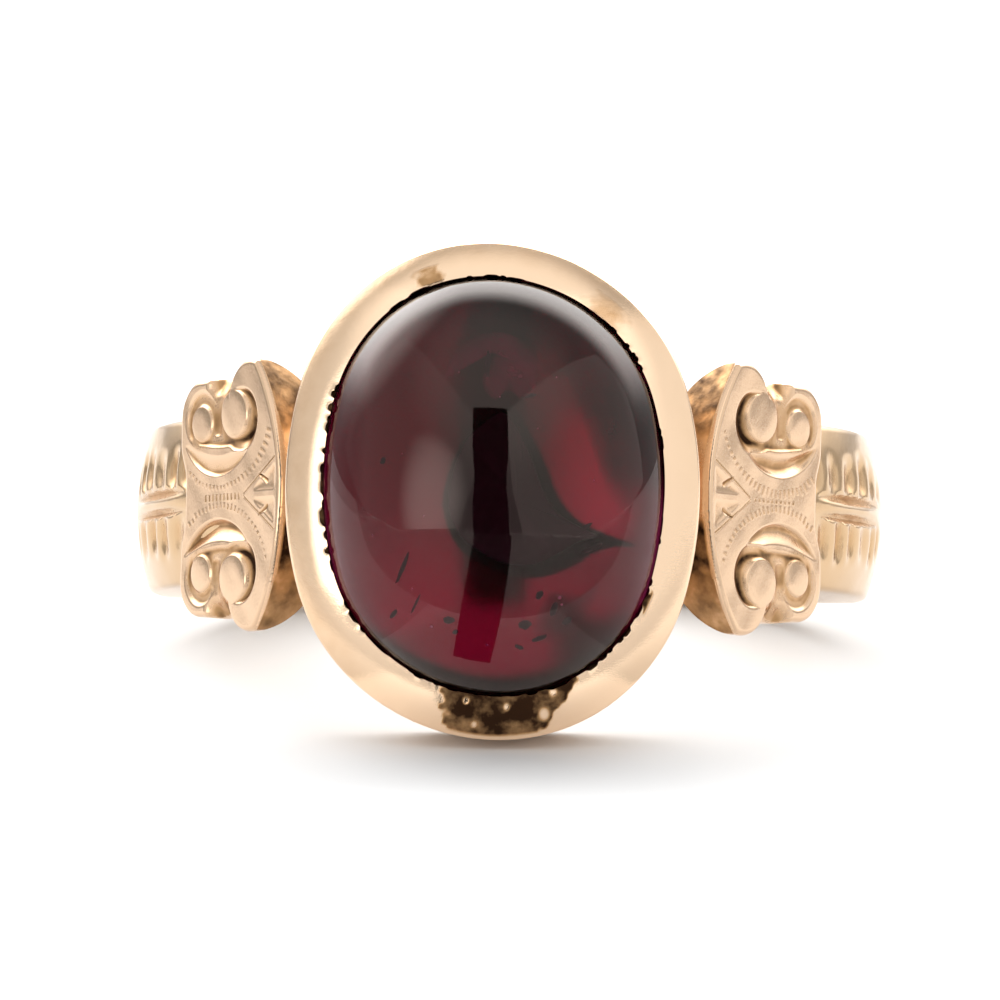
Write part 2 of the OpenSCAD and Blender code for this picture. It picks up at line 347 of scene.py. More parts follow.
def length(name, description, default):
    """A size in millimetres, kept in metres."""
    return FloatProperty(
        name=name, description=description, default=default * MM, min=0, unit="LENGTH", precision=5
    )


def angle(name, description, default):
    """An angle in degrees, kept in radians."""
    return FloatProperty(
        name=name, description=description, default=math.radians(default), subtype="ANGLE"
    )


def share(name, description, default, high=1):
    """A plain number from nought to high."""
    return FloatProperty(name=name, description=description, default=default, min=0, max=high)


def colour(name, description, default):
    """A colour, in linear red, green and blue."""
    return FloatVectorProperty(
        name=name, description=description, default=default, size=3, min=0, max=1, subtype="COLOR"
    )


class ShankSizes(bpy.types.PropertyGroup):
    """Sizes of the band round the finger."""

    side_thickness: length("Side Thickness", "Thickness at the two sides, on the crest", 1.85)
    back_thickness: length("Back Thickness", "Thickness at the back, on the crest", 1.55)
    side_width: length("Side Width", "Width from the shoulders to the two sides", 4.74)
    back_width: length("Back Width", "Width at the back", 3)
    crown_radius: length("Crown Radius", "Radius of the rounded outer face", 6.4)
    edge_round: length("Edge Round", "Radius worn on the outer edges", 0.16)
    leaf_depth: length("Leaf Depth", "Depth of the leaf cut into each side", 0.17)


class ColletSizes(bpy.types.PropertyGroup):
    """Sizes of the rub-over setting."""

    length: length("Length", "Length along the finger", 13.94)
    width: length("Width", "Width across the finger", 11.6)
    end_radius: length("End Radius", "Radius of the two ends", 5.63)
    base_height: length("Base Height", "Height of the underside above the finger's axis", 9.3)
    edge_height: length("Edge Height", "Height of the widest line above the finger's axis", 11.8)
    lip_height: length("Lip Height", "Height of the lip above the finger's axis", 12.5)
    wall_lean: length("Wall Lean", "How far the wall leans in towards its underside", 0.35)
    end_lean: length("End Lean", "How far the two ends are out of line", 0.21)
    chip_depth: length("Chip Depth", "Depth of the worn places along the lip", 0.14)


class StoneSizes(bpy.types.PropertyGroup):
    """Sizes of the cabochon."""

    base_height: length("Base Height", "Height of the flat back above the finger's axis", 10.1)
    girdle_height: length("Girdle Height", "Height of the upright girdle", 1)
    dome_height: length("Dome Height", "Height of the dome above the girdle", 4.1)
    inset: length("Inset", "How far the girdle lies inside the collet's widest line", 0.8)
    bevel: length("Bevel", "Bevel round the flat back", 0.2)
    seat_right: length("Seat Right", "How far the stone sits to the right of the collet", 0.06)
    seat_above: length("Seat Above", "How far the stone sits towards the collet's upper end", 0.09)


class ShoulderSizes(bpy.types.PropertyGroup):
    """Sizes of the carved shoulders."""

    plate_slope: angle("Plate Slope", "Slope of the plate, down from the level", 54.5)
    plate_across: length("Plate Across", "Distance of the upper edge from the middle", 6.06)
    plate_height: length("Plate Height", "Height of the upper edge above the axis", 10.5)
    plate_end: length("Plate End", "Length of the plate at its waist", 5.1)
    plate_half: length("Plate Half", "Half the width of the plate's middle part", 2.7)
    edge_radius: length("Edge Radius", "Radius of the upper edge, round the collet", 6)
    wing_height: length("Wing Height", "Radius of the rounded underside of a wing", 1.67)
    wing_middle: length("Wing Middle", "Distance of that radius from the plate's middle", 2.2)
    edge_round: length("Edge Round", "Radius worn on the outline", 0.15)
    ground_depth: length("Ground Depth", "Depth of the step round the curls", 0.1)
    curl_slope: share("Curl Slope", "How steeply each curl falls towards its eye", 0.5)
    valley_depth: length("Valley Depth", "Depth of the valley between the two eyes", 0.15)
    grid: length("Grid", "Spacing of the points on the carved face", 0.03)


class Finish(bpy.types.PropertyGroup):
    """Colours and polish."""

    gold: colour("Gold", "Colour of the polished rose gold", (0.81, 0.595, 0.41))
    carved_gold: colour("Carved Gold", "Colour of the gold on the shoulders", (0.68, 0.475, 0.315))
    # The shank's gold is a darker, browner copy of the polished gold: painted shade on the band round the
    # finger.
    shank_gold: colour("Shank Gold", "Colour of the gold round the finger", (0.56, 0.385, 0.225))
    # Brown gold and recess colour the grime, and also the painted shade in the carving and under the lip and
    # the painted dark reflections on the collet's band.
    brown_gold: colour("Brown Gold", "Colour of lightly tarnished gold", (0.5, 0.29, 0.135))
    recess: colour("Recess", "Colour of the grime in cuts and under the lip", (0.035, 0.016, 0.008))
    gold_roughness: share("Gold Roughness", "Roughness of the polished gold", 0.13)
    garnet: colour("Garnet", "Colour of the light that the garnet lets through", (0.55, 0.1, 0.29))
    # The darker garnet colour is painted shade over the stone's upper part.
    shaded_garnet: colour("Dark Garnet", "Colour of the garnet's darker upper zone", (0.33, 0.024, 0.115))
    garnet_depth: share("Garnet Depth", "Share of light lost in a millimetre of garnet", 0.18)
    # The veil colour is also that of the painted dark reflection sheet and of the painted shade at the
    # stone's rim; it colours the dark flecks too.
    veil: colour("Veil", "Colour of the dark veil inside the garnet", (0.006, 0.001, 0.0015))
    dim_veil: colour("Dim Veil", "Colour of the fainter veils inside the garnet", (0.12, 0.012, 0.03))
    pale_veil: colour("Pale Veil", "Colour of the pale veils high in the garnet", (0.6, 0.28, 0.3))
    # The speck colour is a painted highlight: pale specks that stand in for small glints.
    speck: colour("Speck", "Colour of the pale specks inside the garnet", (0.8, 0.6, 0.6))


class Studio(bpy.types.PropertyGroup):
    """Camera and light."""

    camera_distance: length("Camera Distance", "Distance from the finger's axis", 350)
    lens: FloatProperty(name="Lens", description="Focal length", default=436, unit="CAMERA")
    camera_right: angle("Camera Right", "Camera to the right of the stone's axis", 2.4)
    camera_low: angle("Camera Low", "Camera below the stone's axis", 3.5)
    aim_left: length("Aim Left", "How far the camera is moved to the left", 0.2746)
    aim_above: length("Aim Above", "How far the camera is moved upwards", 0.465)
    floor: colour("Floor", "Colour of the floor", (0.62, 0.62, 0.62))
    surround: share("Surround", "Brightness of the pale surround", 0.62, 10)
    right_light: share("Right Light", "Brightness of the softbox on the right", 0.42, 10)
    left_light: share("Left Light", "Brightness of the softbox on the left", 0.2, 10)
    top_glow: share("Top Glow", "Brightness of the glow overhead", 0.6, 10)
    back_glow: share("Back Glow", "Brightness of the glow above and behind", 5.6, 10)
    high_left_glow: share("High Left Glow", "Brightness of the glow behind on the left", 2.4, 10)
    left_glow: share("Left Glow", "Brightness of the glow on the left", 2.3, 10)


def in_mm(group):
    """The group's lengths in millimetres, by name."""
    return SimpleNamespace(**{key: getattr(group, key) / MM for key in group.__annotations__})


def ring_place():
    """Matrix from the stone-up ring in millimetres to the row frame in metres."""
    along = Vector(FINGER_HOLE["axis"]).normalized()
    across = Vector((1, 0, 0))
    turn = Matrix((across, along, across.cross(along))).transposed().to_4x4()
    return Matrix.Translation(FINGER_HOLE["pos_m"]) @ turn @ Matrix.Scale(MM, 4)


def rise(t):
    """Smooth step from nought to one as t goes from nought to one."""
    t = np.clip(t, 0, 1)
    return t * t * (3 - 2 * t)


def soft_min(a, b, blend=0.08):
    """The smaller of two distances, rounded where they meet."""
    h = np.clip(0.5 + 0.5 * (b - a) / blend, 0, 1)
    return b + (a - b) * h - blend * h * (1 - h)


def soft_max(a, b, blend=0.08):
    """The larger of two depths, rounded where they meet."""
    return -soft_min(-a, -b, blend)


def round_edge(inside, radius):
    """Drop of a surface near its outline, for an edge rounded to a quarter circle."""
    reach = np.clip(radius - inside, 0, radius)
    return radius - np.sqrt(radius**2 - reach**2)


def disc(u, v, row):
    """Distance to a circle, negative inside. The row starts with u, v, radius."""
    return np.hypot(u - row[0], v - row[1]) - row[2]


def soft_line(across, place, half):
    """A soft line: one at its place, and fading to nothing on both sides."""
    return np.exp(-(((across - place) / half) ** 2))


def tapered_cut(u, v, row, sharp=1.0):
    """Depth of a cut along a line between two ends, deepest on the line."""
    (u0, v0, half0), (u1, v1, half1), depth = row
    du, dv = u1 - u0, v1 - v0
    t = np.clip(((u - u0) * du + (v - v0) * dv) / (du**2 + dv**2), 0, 1)
    away = np.hypot(u - u0 - t * du, v - v0 - t * dv) / (half0 + (half1 - half0) * t)
    return depth * np.clip(1 - away, 0, 1) ** sharp


def curved_cut(u, v, row):
    """Depth of a rounded groove along an arc, fading at the arc's two ends."""
    middle_u, middle_v, radius, start, end, half, depth = row
    du, dv = u - middle_u, v - middle_v
    turn = np.degrees(np.arctan2(dv, du))
    first_fade, last_fade = 45, 25
    ends = rise((turn - start) / first_fade) * rise((end - turn) / last_fade)
    return depth * ends * rise(1.3 - np.abs(np.hypot(du, dv) - radius) / half)


def zone(u, w, row):
    """Share of a zone: full inside it, and falling to nothing past each of its sides."""
    from_u, slope_from, to_u, slope_to, from_w, slope_w = row
    along = rise((u - from_u) / slope_from) * rise((to_u - u) / slope_to)
    return along * rise((w - from_w) / slope_w)


def hand_work(u, v, size=1.0):
    """Slight waviness that filing and polishing by hand leave, about one unit high."""
    u, v = u / size, v / size
    waves = np.sin(1.7 * u + 0.9 * v + 0.4) + np.sin(-1.1 * u + 2.3 * v + 1.9)
    return (waves + 0.6 * np.sin(3.1 * u + 2.6 * v + 2.7) + 0.4 * np.sin(5.3 * u - 3.7 * v)) / 3


def jitter(index, salt):
    """A steady random number from nought to one for each whole index."""
    x = np.sin(index * 12.9898 + salt * 78.233 + SEED) * 43758.5453
    return x - np.floor(x)


def add_piece(name, points, faces, material, node, slot, smooth_to=40, paint_amount=None, soft=0):
    """A finished piece, in place of a CAD node where one is given.

    The edges between its first points, as many as soft says, stay smooth."""
    mesh = bpy.data.meshes.new(name)
    mesh.from_pydata(np.asarray(points).tolist(), [], faces)
    mesh.transform(ring_place())
    mesh.shade_smooth()
    mesh.set_sharp_from_angle(angle=math.radians(smooth_to))
    if soft:
        ends = np.empty(2 * len(mesh.edges), dtype=int)
        mesh.edges.foreach_get("vertices", ends)
        sharp = mesh.attributes["sharp_edge"].data
        flags = np.empty(len(sharp), dtype=bool)
        sharp.foreach_get("value", flags)
        flags[(ends.reshape(-1, 2) < soft).all(axis=1)] = False
        sharp.foreach_set("value", flags)
    # How dark each point is painted: grime and painted shade on the shoulders, darkening in the shank's leaf,
    # painted dark reflections and painted shade on the collet, painted shade at the stone's rim. On the dim
    # and pale veils it is how solid they are.
    if paint_amount is not None:
        layer = mesh.attributes.new("paint_amount", "FLOAT", "POINT")
        layer.data.foreach_set("value", np.asarray(paint_amount, dtype=float))
    mesh.materials.append(material)
    piece = bpy.data.objects.new(name, mesh)
    bpy.context.scene.collection.objects.link(piece)
    if node:
        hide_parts(node)
    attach(piece, BODY)
    return piece


def sheet_faces(rows, columns, round_rows=False, round_columns=False):
    """Quads of a grid of points, row by row, closed on itself where asked."""
    faces = []
    for r in range(rows if round_rows else rows - 1):
        s = (r + 1) % rows
        for c in range(columns if round_columns else columns - 1):
            d = (c + 1) % columns
            faces.append((r * columns + c, r * columns + d, s * columns + d, s * columns + c))
    return faces


# Shoulders


def plate_outline(u, v, s):
    """Distance to the outline of the plate, negative inside."""
    w = np.abs(v)
    core = np.maximum(u - s.plate_end, w - s.plate_half)
    for lobe in LOBES:
        core = soft_min(core, disc(u, w, lobe), LOBE_BLEND)
    return np.maximum(core, np.hypot(u - s.edge_radius, v) - s.edge_radius)


def stroke_depth(u, w, scroll):
    """Depth of the engraved marks that stand round the bowl of a scroll."""
    du, dw = (u - BOWL[0]) / BOWL[2], (w - BOWL[1]) / BOWL[3]
    turn = np.degrees(np.arctan2(dw, du))
    place = np.radians(turn) * STROKE_RADIUS / STROKE_PITCH
    index = np.round(place)
    across = np.abs(place - index) * STROKE_PITCH / STROKE_HALF
    waist = rise((turn - STROKE_FROM) / (STROKE_WAIST - STROKE_FROM))
    waist_gap, more_gap, gap_play = STROKE_GAP
    gap = waist_gap + more_gap * (1 - waist) + gap_play * jitter(index, 2)
    long = (scroll.near + (scroll.waist - scroll.near) * waist) * (0.8 + 0.4 * jitter(index, 1))
    bowl_half = 2
    along = ((np.hypot(du, dw) - 1) * bowl_half - gap) / long
    inside = (along > 0) & (along < 1) & (turn > STROKE_FROM) & (turn < STROKE_TO) & (w > 0.03)
    body = np.clip(1.3 - along, 0, 1) * np.clip(along * 8, 0, 1) * np.clip((1 - along) * 6, 0, 1)
    return np.where(inside, STROKE_DEPTH * body * np.clip(1.2 - across, 0, 1), 0)


def middle_marks(u, v, side):
    """Depth of the short bars along the waist's middle line."""
    place = (u - BARS.first) / BARS.pitch
    across = np.abs(place - np.round(place)) * BARS.pitch / BARS.half
    off_middle, soft_end = 0.02, 0.05
    body = np.clip(1.1 - across, 0, 1) * rise((BAR_REACH[side] - np.abs(v + off_middle)) / soft_end)
    return np.where((u > BARS.start) & (u < BARS.end), BARS.depth * body, 0)


def diamond_depth(u, w):
    """Depth of the half diamond engraved beside the collet."""
    (u0, v0, _), (u1, v1, _), _ = DIAMOND_LINE
    within = v0 + (v1 - v0) * (u - u0) / (u1 - u0) - w
    sunk, start = 0.06, 0.16
    face = sunk * rise(within / 0.35) * rise((u - start) / 0.2) * rise((w + 0.1) / 0.4)
    line = tapered_cut(u, w, DIAMOND_LINE)
    thorn = tapered_cut(u, w, DIAMOND_THORN, 0.7)
    return np.maximum(np.maximum(face, line), thorn)


def crescent_depth(u, w, scroll):
    """Depth of the crescent between the bowl's edge and the step beside the curls."""
    bowl_half, soft_side = 1.95, 0.75
    inside = (1 - np.hypot((u - BOWL[0]) / BOWL[2], (w - BOWL[1]) / BOWL[3])) * bowl_half
    past = step_line(u) - w
    width = np.maximum(inside + past, TINY)
    t = np.clip(inside / width, 0, 1)
    rest = np.clip((t - scroll.low) / (1 - scroll.low), 0, 1)
    section = np.where(t < scroll.low, rise(t / scroll.low), 0.5 + 0.5 * np.cos(np.pi * rest))
    shape = scroll.depth * section * rise((inside + past) / soft_side)
    return np.where((inside > 0) & (past > 0), shape, 0)


def by_half(depth_of, u, v, side):
    """The upper scroll's depth above the middle line, and the lower one's below it."""
    w = np.abs(v)
    return np.where(v > 0, depth_of(u, w, SCROLLS[side, 1]), depth_of(u, w, SCROLLS[side, -1]))


def marks_depth(u, v, side):
    """Depth of all the engraved marks of the plate."""
    return np.maximum(by_half(stroke_depth, u, v, side), middle_marks(u, v, side))


def step_line(u):
    """Where along v the step between the crescent and the curls runs."""
    return 1.38 + 0.09 * (u - 3.1) ** 2


def carving(u, v, side, s):
    """Height of the carved face of the plate, without its outer edge."""
    w = np.abs(v)
    upper, lower = -disc(u, w, UPPER_CURL), -disc(u, w, LOWER_CURL)
    from_u, to_u, to_w = GROUND
    beyond = w - step_line(u)
    between = np.minimum(np.minimum(beyond, to_w - w), np.minimum(u - from_u, to_u - u))
    hollow = -soft_min(soft_min(-upper, -lower, GROUND_BLEND), -between, GROUND_BLEND)
    depth = s.ground_depth * rise(hollow / 0.12)
    fall = np.clip(upper - 0.05, 0, 0.6) * rise((2.9 - u - 0.5 * np.abs(w - 2.2)) / 0.9)
    depth = depth + s.curl_slope * fall

    depth = np.maximum(depth * rise((3.2 - w) / 0.3), s.valley_depth * zone(u, w, VALLEY))
    depth = soft_max(depth, NOTCH_DEPTH * zone(u, w, NOTCH), 0.1)
    depth = soft_max(depth, curved_cut(u, w, LOWER_RING), 0.05)

    for eye in EYES:
        radius, steep, face = eye[2:]
        away = disc(u, w, eye)
        crown = EYE_CROWN * np.clip(1 + away / radius, 0, 1) ** 3
        depth = np.minimum(depth, face + crown + steep * np.clip(away, 0, 1))

    crescents = by_half(crescent_depth, u, v, side)
    for cut in (crescents, marks_depth(u, v, side), diamond_depth(u, w)):
        depth = np.maximum(depth, cut)
    return -depth - PLATE_WAVE * hand_work(u, v + 0.7 * side, 0.9)


def near_crossings(d):
    """Marks the grid's points that lie nearest to where the outline crosses a side of a cell."""
    nearest = np.zeros(d.shape, dtype=bool)
    before, after, every = slice(None, -1), slice(1, None), slice(None)
    for here, there in (((before, every), (after, every)), ((every, before), (every, after))):
        a, b = d[here], d[there]
        crossed = (a < 0) != (b < 0)
        first = np.abs(a) < np.abs(b)
        nearest[here] |= crossed & first
        nearest[there] |= crossed & ~first
    return nearest


def open_sides(faces):
    """Sides that belong to one face alone, in that face's direction."""
    sides = {}
    for f in faces:
        for a, b in zip(f, f[1:] + f[:1]):
            if (b, a) in sides:
                del sides[b, a]
            else:
                sides[a, b] = True
    return list(sides)


def cut_grid(distance, u_range, v_range, pitch):
    """Points, faces and outline edges of a square grid cut to where distance is negative.

    Where the outline crosses a side of a cell, the nearer corner is moved onto it."""
    us = np.arange(u_range[0], u_range[1] + pitch, pitch)
    vs = np.arange(v_range[0], v_range[1] + pitch, pitch)
    u, v = np.meshgrid(us, vs, indexing="ij")
    d = distance(u, v)
    snap = near_crossings(d)
    nudge, rounds = pitch * 0.01, 4
    for _ in range(rounds):
        du = (distance(u + nudge, v) - distance(u - nudge, v)) / (2 * nudge)
        dv = (distance(u, v + nudge) - distance(u, v - nudge)) / (2 * nudge)
        move = np.where(snap, distance(u, v) / np.maximum(du**2 + dv**2, TINY), 0)
        u, v = u - move * du, v - move * dv

    rim = snap.ravel()
    kept = rim | (d <= 0).ravel()
    rows, columns = d.shape
    flat_u, flat_v = u.ravel(), v.ravel()
    faces = []
    for r in range(rows - 1):
        for c in range(columns - 1):
            k = r * columns + c
            corners = [i for i in (k, k + columns, k + columns + 1, k + 1) if kept[i]]
            if len(corners) < 3:
                continue
            if all(rim[i] for i in corners):
                middle_u, middle_v = flat_u[corners].mean(), flat_v[corners].mean()
                if distance(middle_u, middle_v) >= 0:
                    continue
            faces.append(corners)

    used = np.unique(np.concatenate(faces))
    number = np.full(rows * columns, -1)
    number[used] = np.arange(len(used))
    faces = [tuple(int(number[i]) for i in f) for f in faces]
    return np.stack([flat_u[used], flat_v[used]], axis=1), faces, open_sides(faces)


def wing_underside(u, v, s, shank_width):
    """Height of the underside: rounded under the wings, sunk into the shank between them."""
    w = np.abs(v)
    wing = -np.sqrt(np.maximum(s.wing_height**2 - np.maximum(w - s.wing_middle, 0) ** 2, 0))
    slope = s.plate_slope
    x = s.plate_across + u * math.cos(slope)
    z = s.plate_height - u * math.sin(slope)
    lean = x * math.sin(slope) + z * math.cos(slope)
    hidden_r = FINGER_D / 2 + ROOT_ABOVE_BORE
    sunk = -lean + np.sqrt(np.maximum(hidden_r**2 - x**2 - z**2 + lean**2, 0))
    return np.where(w < shank_width / 2 - ROOT_INSET, np.minimum(sunk, wing), wing)


def face_grime_and_shade(u, v, bare, side, s):
    """Grime and painted shade on the carved face: painted shade in its dips and on deep ground,
    grime and painted shade in its cuts, along the step and round the eyes.
    """
    w = np.abs(v)
    # Painted shade: the face is darker where it lies below the mean of the points round it.
    reach, samples = 0.14, 8
    around = 0
    for k in range(samples):
        a = 2 * math.pi * k / samples
        around = around + carving(u + reach * math.cos(a), v + reach * math.sin(a), side, s) / samples
    dip = np.clip((around - bare) / 0.05, 0, 1)
    # Painted shade on the low, deep ground.
    deep = 0.6 * np.clip((-bare - 0.04) / 0.08, 0, 1) + 0.4 * np.clip((-bare - 0.1) / 0.3, 0, 1)
    cut = np.maximum(marks_depth(u, v, side), tapered_cut(u, w, DIAMOND_LINE)) / DIAMOND_LINE[2]
    start, end, soft, place, half = LEDGE_GRIME_AND_SHADE
    ledge = soft_line(w - step_line(u), place, half) * rise((u - start) / soft)
    ledge = ledge * rise((end - u) / soft)
    ring = sum(soft_line(disc(u, w, eye), *EYE_GRIME_AND_SHADE) for eye in EYES)
    ring = np.minimum(ring, 1) * rise((3.1 - w) / 0.4)
    grime_and_shade = GRIME_AND_SHADE_WEIGHTS.dip * dip + GRIME_AND_SHADE_WEIGHTS.deep * deep + GRIME_AND_SHADE_WEIGHTS.cut * cut
    return np.clip(grime_and_shade + GRIME_AND_SHADE_WEIGHTS.ledge * ledge + GRIME_AND_SHADE_WEIGHTS.ring * ring, 0, 1)


def wall_grime_and_shade(u, v, s):
    """Mottled grime and painted shade on the wall that faces the collet: darkest below the middle,
    in the collet's shade, lighter above it, and clean at the middle.
    """
    w = np.abs(v)
    by_collet = rise(1 - (s.edge_radius - np.hypot(u - s.edge_radius, v)) / 0.1)
    below = 0.62 + 0.38 * rise((2.5 - w) / 0.7)
    above = 0.25 + 0.5 * rise((v - 1.5) / 0.6)
    return by_collet * np.where(v < 0, below, above) * rise((w - 0.35) / 0.7)


def underside_seeds(distance, shank_width):
    """Places on the underside, closer together along its rounding and beside the shank."""
    root, beside = shank_width / 2 - ROOT_INSET, 0.02
    across = (0.3, 0.9, 1.5, root - beside, root + beside, 2.55, 2.8, 3.05, 3.25, 3.45, 3.6)
    return [
        (x, half * y)
        for x in np.arange(0.2, 5.3, 0.25)
        for y in across
        for half in (-1, 1)
        if distance(x, y) < -0.12
    ]


def shoulder_points(s, shank_width, side):
    """Points, faces, painted grime and shade, and the number of carved points of one shoulder, in
    its plane.
    """

    def distance(u, v):
        """Distance to this plate's outline, negative inside."""
        return plate_outline(u, v, s)

    flat, top_faces, sides = cut_grid(distance, (-0.06, 5.5), (-4.02, 4.02), s.grid)
    u, v = flat.T
    inside = -distance(u, v)
    bare = carving(u, v, side, s)
    height = bare - round_edge(inside, s.edge_round)
    points = [np.stack([u, v, height], axis=1)]
    paint_amount = [np.where(inside > 0.05, face_grime_and_shade(u, v, bare, side, s), 0)]
    faces = list(top_faces)

    rim = sorted({i for pair in sides for i in pair})
    place = {i: k for k, i in enumerate(rim)}
    rim_u, rim_v = u[rim], v[rim]
    top = height[rim]
    least_wall = 0.03
    low = np.minimum(wing_underside(rim_u, rim_v, s, shank_width), top - least_wall)
    ring_of = [rim]
    start = len(u)
    for t in (0.04, 0.2, 0.4, 0.6, 0.8, 1.0):
        points.append(np.stack([rim_u, rim_v, top + (low - top) * t], axis=1))
        paint_amount.append(wall_grime_and_shade(rim_u, rim_v, s))
        ring_of.append(list(range(start, start + len(rim))))
        start += len(rim)
    for a, b in sides:
        a, b = place[a], place[b]
        for upper, lower in zip(ring_of, ring_of[1:]):
            faces.append((upper[a], lower[a], lower[b], upper[b]))

    seeds = underside_seeds(distance, shank_width)
    flat_rim = [Vector((x, y)) for x, y in zip(rim_u, rim_v)] + [Vector(p) for p in seeds]
    edges = [(place[a], place[b]) for a, b in sides]
    out, _, under, origin, _, _ = delaunay_2d_cdt(flat_rim, edges, [], 1, 1e-7)
    number = []
    extra = []
    for k, sources in enumerate(origin):
        if sources and sources[0] < len(rim):
            number.append(ring_of[-1][sources[0]])
        else:
            number.append(start + len(extra))
            extra.append(out[k])
    extra_u = np.array([p.x for p in extra])
    extra_v = np.array([p.y for p in extra])
    bottom = wing_underside(extra_u, extra_v, s, shank_width)
    points.append(np.stack([extra_u, extra_v, bottom], axis=1))
    paint_amount.append(np.zeros(len(extra)))
    faces += [tuple(number[i] for i in reversed(f)) for f in under]
    return np.concatenate(points), faces, np.concatenate(paint_amount), len(u)


def shoulder_in_ring(points, s, side):
    """The shoulder's points in the stone-up ring. side is 1 on the right, -1 on the left."""
    u, v, n = points.T
    x = s.plate_across + u * math.cos(s.plate_slope) + n * math.sin(s.plate_slope)
    z = s.plate_height - u * math.sin(s.plate_slope) + n * math.cos(s.plate_slope)
    return np.stack([side * x, v, z], axis=1)


# Shank


def leaf_depth(arc, y, full, side):
    """Depth of the leaf. arc is the distance along the shank from the shoulder's end."""
    w = np.abs(y)
    half = np.where(y > 0, 1, -1)
    reach = np.clip(1 - np.maximum(arc - LEAF.taper, 0) ** 2 / LEAF.tip**2, 0, 1)
    border = (LEAF.half + 0.08 * np.sin(1.9 * arc + half)) * np.sqrt(reach)
    within = rise((border - w) / 0.8) * rise((arc + 0.6) / 0.3)
    pitch = LEAF.pitch + 0.06 * half * side
    bend = 0.6 * w - 0.25 * w**2 + 0.06 * np.sin(2.1 * arc + half)
    bars = 0.5 - 0.5 * np.cos(2 * np.pi * (arc - bend - 0.25 * half) / pitch)
    size = 0.8 + 0.25 * np.sin(1.7 * arc + 2 * half + side)
    leaf = within * full * (0.15 + size * bars**1.2 * rise((w - 0.1) / 0.7))
    along_vein = np.clip((arc + 0.1) / LEAF.vein_length, 0, 1)
    vein_end = np.clip(np.sin(np.pi * along_vein), 0, 1) ** 0.7
    groove_half = LEAF.vein_half + LEAF.vein_half * vein_end
    groove = 1.3 * full * vein_end * soft_line(w, LEAF.vein_place, groove_half)
    vein = rise((0.24 - w) / 0.16) * vein_end
    return np.maximum(leaf * (1 - vein), groove)


def half_width(z, s):
    """Half the shank's width at a height z."""
    reach = (s.side_width - s.back_width) / 2
    outer = FINGER_D / 2 + s.side_thickness
    flank = (outer**2 + reach**2) / (2 * reach)
    return s.side_width / 2 - flank + np.sqrt(flank**2 - np.minimum(z, 0) ** 2)


def shank_mesh(s, top_z):
    """Points, faces and darkening of the shank: one closed section for each angle, darker in the
    deeper parts of the leaf.
    """
    bore = FINGER_D / 2
    outer = bore + s.side_thickness
    shift = s.side_thickness - s.back_thickness
    fine, coarse = 0.28, 2.0
    right = np.concatenate(
        [
            np.arange(0, LEAF_FROM, coarse),
            np.arange(LEAF_FROM, LEAF_TO, fine),
            np.arange(LEAF_TO, 180, coarse),
        ]
    )
    angles = np.radians(np.concatenate([right, 360 - right[::-1][:-1]]))
    even = np.linspace(-1, 1, 97)
    across = np.sin(even * np.pi / 2) * 0.25 + even * 0.75
    bore_columns, bore_inset = 5, 0.1
    rows, paint_amount = [], []
    for a in angles:
        width = float(half_width(shift + outer * math.cos(a), s))
        y = across * width
        inside = width - np.abs(y)
        r = outer - (s.crown_radius - np.sqrt(s.crown_radius**2 - y**2))
        turned = min(a, 2 * math.pi - a)
        arc = (math.degrees(turned) - SHOULDER_END) * math.pi / 180 * outer
        cut = np.zeros_like(y)
        if LEAF_FROM - 0.1 < math.degrees(turned) < LEAF_TO + 0.1:
            cut = leaf_depth(arc, y, s.leaf_depth, 1 if a < math.pi else -1)
        wave = BAND_WAVE * hand_work(np.full_like(y, turned * outer), y, 1.1)
        r = r - cut - round_edge(inside, s.edge_round) - wave
        x, z = r * math.sin(a), shift + r * math.cos(a)
        face = np.stack([x, y, np.minimum(z, top_z)], axis=1)
        bore_y = np.linspace(width - bore_inset, -width + bore_inset, bore_columns)
        bore_x = np.full(bore_columns, bore * math.sin(a))
        bore_z = np.full(bore_columns, bore * math.cos(a))
        inner = np.stack([bore_x, bore_y, bore_z], axis=1)
        walls = []
        for edge_point, bore_point in ((face[-1], inner[0]), (face[0], inner[-1])):
            foot = bore_point + (edge_point - bore_point) * 0.07
            foot[1] = edge_point[1]
            walls.append([edge_point + (foot - edge_point) * t for t in (0.33, 0.66, 1)])
        section = np.concatenate([face, walls[0], inner, walls[1][::-1]])
        rows.append(section)
        # Darker in the deeper parts of the leaf's cuts.
        depth = np.clip(cut / s.leaf_depth - 0.35, 0, 1) * 0.5
        paint_amount.append(np.concatenate([depth, np.zeros(len(section) - len(depth))]))
    faces = sheet_faces(len(rows), len(rows[0]), True, True)
    return np.concatenate(rows), faces, np.concatenate(paint_amount)


# Collet and stone


def oval_frame(c, step):
    """Points and outward directions round the collet's widest line, an oval of four arcs."""
    end_y = c.length / 2 - c.end_radius
    side_r = (end_y**2 + (c.width / 2) ** 2 - c.end_radius**2) / (c.width - 2 * c.end_radius)
    side_x = side_r - c.width / 2
    turn = math.atan2(end_y, side_x)
    arcs = (
        ((-side_x, 0), side_r, -turn, turn),
        ((0, end_y), c.end_radius, turn, math.pi - turn),
        ((side_x, 0), side_r, math.pi - turn, math.pi + turn),
        ((0, -end_y), c.end_radius, math.pi + turn, 2 * math.pi - turn),
    )
    points, normals = [], []
    for (cx, cy), radius, start, end in arcs:
        count = max(8, round(radius * (end - start) / step))
        for k in range(count):
            t = start + (end - start) * k / count
            normal = (math.cos(t), math.sin(t))
            points.append((cx + radius * normal[0], cy + radius * normal[1]))
            normals.append(normal)
    points = np.array(points)
    points[:, 0] -= c.end_lean * (points[:, 1] / (c.length / 2)) ** 3
    return points, np.array(normals)


